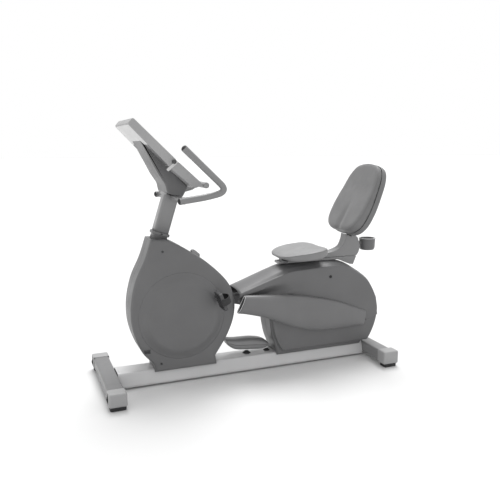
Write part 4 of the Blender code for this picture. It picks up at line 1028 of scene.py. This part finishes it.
def back_outline(shrink=0.0):
    half = [
        (0.0, -0.205), (0.098, -0.200), (0.160, -0.150), (0.180, -0.060), (0.171, 0.050),
        (0.150, 0.142), (0.100, 0.203), (0.0, 0.2215),
    ]
    loop = half + [(-x, y) for x, y in reversed(half[1:-1])]
    return offset(smooth_line(loop, steps=6, closed=True), shrink)


def back_axes():
    """Across, up the backrest, and out of its rear."""
    return np.array([
        (0, 1, 0), (math.sin(BACK_TILT), 0, math.cos(BACK_TILT)),
        (math.cos(BACK_TILT), 0, -math.sin(BACK_TILT)),
    ])


def backrest_pad():
    """A pad that thickens downward, with a channel up its lower middle and a seam round its face."""
    axes = back_axes()
    centre = np.array((0.672, 0, 0.914))
    outline = back_outline(0.002)
    levels = [(share, 1.0) for share in (0.03, 0.2, 0.4, 0.6, 0.75, 0.85)]
    levels += [(0.94, 0.995), (0.975, 0.97), (0.992, 0.91), (1.0, 0.80), (1.0, 0.30), (0.998, 0.0)]
    levels += [(share, -0.02) for share in (0.9, 0.7, 0.5, 0.3, 0.03)]
    rows = []
    for share, depth in levels:
        ring = outline * share
        thick = 0.031 + 0.024 * np.clip((0.07 - ring[:, 1]) / 0.27, 0, 1)
        dent = 0.008 * np.exp(-((ring[:, 0] / 0.022) ** 2)) * np.clip((-ring[:, 1] - 0.01) / 0.12, 0, 1)
        level = -depth * thick + (dent if depth > 0.9 else 0)
        rows.append(np.c_[ring, level] @ axes + centre)
    # The pad takes the darkened copy of the seat vinyl: painted shade.
    pad = grown("back_cushion", lofted(rows), "upholstery_back_shaded", "backrest_pad", 3.0, 0.003)
    welt("back_welt", pad, rows[7], 0.0013)


def backrest_back():
    """The moulded shell behind the pad, with a shallow panel let into its rear."""
    axes = back_axes()
    centre = np.array((0.672, 0, 0.914))
    outline = back_outline(0.0005)
    rows = []
    for share, level in ((0.985, -0.003), (0.999, 0.001), (1.0, 0.018), (0.993, 0.0245), (0.978, 0.0300), (0.955, 0.0328),
                         (0.86, 0.0332), (0.845, 0.0310), (0.83, 0.0300), (0.6, 0.0300), (0.3, 0.0300),
                         (0.05, 0.0300)):
        rows.append(np.c_[outline * share, np.full(len(outline), level)] @ axes + centre)
    shell = make(
        "back_shell", lofted(rows, caps=(False, True)), "fin_plastic", body="seat_carriage",
        stands_for=["backrest_shell"], facing=axes[2],
    )
    thicken(shell, 0.003)
    for index, (across, up) in enumerate(((-0.05, -0.10), (0.05, -0.10), (-0.05, 0.05), (0.05, 0.05))):
        place = centre + axes[0] * across + axes[1] * up + axes[2] * 0.0302
        screw(f"back_screw_{index + 1}", place, axes[2], 0.006, "seat_carriage")


def seat():
    seat_arm()
    cup()
    seat_pad()
    backrest_pad()
    backrest_back()


def paint_cad_nodes():
    """Gives each CAD node the material of its slot and smooth shading with crisp edges."""
    slots = {row["node"]: row["material_slot"] for row in frame["record"]["subparts"]}
    finishes = {
        "front_end_cap": "trim_plastic", "rear_end_cap": "trim_plastic", "main_beam": "beam_paint",
        "front_crossbar": "bar_paint", "seat_lever": "dark_plastic",
    }
    for name, node in frame["nodes"].items():
        slot = slots[name]
        for start, finish in finishes.items():
            if name.startswith(start):
                slot = finish
        if slot == "upholstery":
            continue
        node.data.materials.clear()
        node.data.materials.append(MATERIALS[slot])
        soften(node)


def soften(piece, angle=32):
    piece.data.shade_smooth()
    piece.data.set_sharp_from_angle(angle=math.radians(angle))
    even = piece.modifiers.new("even_faces", "WEIGHTED_NORMAL")
    even.keep_sharp = True


# ---------------------------------------------------------------- studio
def studio():
    """White all round, a broad soft key from above and behind, and a weaker one from the left."""
    world = bpy.data.worlds.new("studio")
    bpy.context.scene.world = world
    world.use_nodes = True
    sky = world.node_tree.nodes["Background"]
    sky.inputs["Color"].default_value = (1, 1, 1, 1)
    sky.inputs["Strength"].default_value = SKY
    sun("overhead", (0.22, 0.42, 1.0), 2.5, 34)
    sun("from_left", (-1.0, -0.15, 0.45), 0.18, 60)
    floor()


def sun(name, towards, strength, spread):
    light = bpy.data.lights.new(name, "SUN")
    light.energy = strength
    light.angle = math.radians(spread)
    lamp = bpy.data.objects.new(name, light)
    bpy.context.scene.collection.objects.link(lamp)
    lamp.rotation_euler = Vector(towards).to_track_quat("Z", "Y").to_euler()


def floor():
    """A wide pale floor."""
    mesh = bpy.data.meshes.new("studio_floor")
    half = 60.0
    corners = [(-half, -half, 0), (half, -half, 0), (half, half, 0), (-half, half, 0)]
    mesh.from_pydata([Vector(c) - Vector((0, 0, 0.0002)) for c in corners], [], [(0, 1, 2, 3)])
    ground = bpy.data.objects.new("studio_floor", mesh)
    bpy.context.scene.collection.objects.link(ground)
    matte = Recipe("studio_floor", (0.66, 0.66, 0.66), 0.80)
    matte.mottle(0.6, 0.004)
    ground.data.materials.append(matte.material)


def camera():
    lens = bpy.data.cameras.new("camera")
    lens.lens = CAMERA_LENS
    lens.sensor_width = 36.0
    made = bpy.data.objects.new("camera", lens)
    bpy.context.scene.collection.objects.link(made)
    made.location = CAMERA_PLACE
    made.rotation_euler = (math.pi / 2 - CAMERA_PITCH, 0, -CAMERA_YAW)
    bpy.context.scene.camera = made
    view = bpy.context.scene.view_settings
    view.view_transform = "Standard"
    view.look = "None"


camera()
studio()
paint_cad_nodes()
front_housing()
rear_housing()
top_shroud()
step_pod()
mast()
console()
handlebar()
floor_frame()
pedals()
seat()
for wing_hand, wing_side in SIDES:
    wing(wing_hand, wing_side)
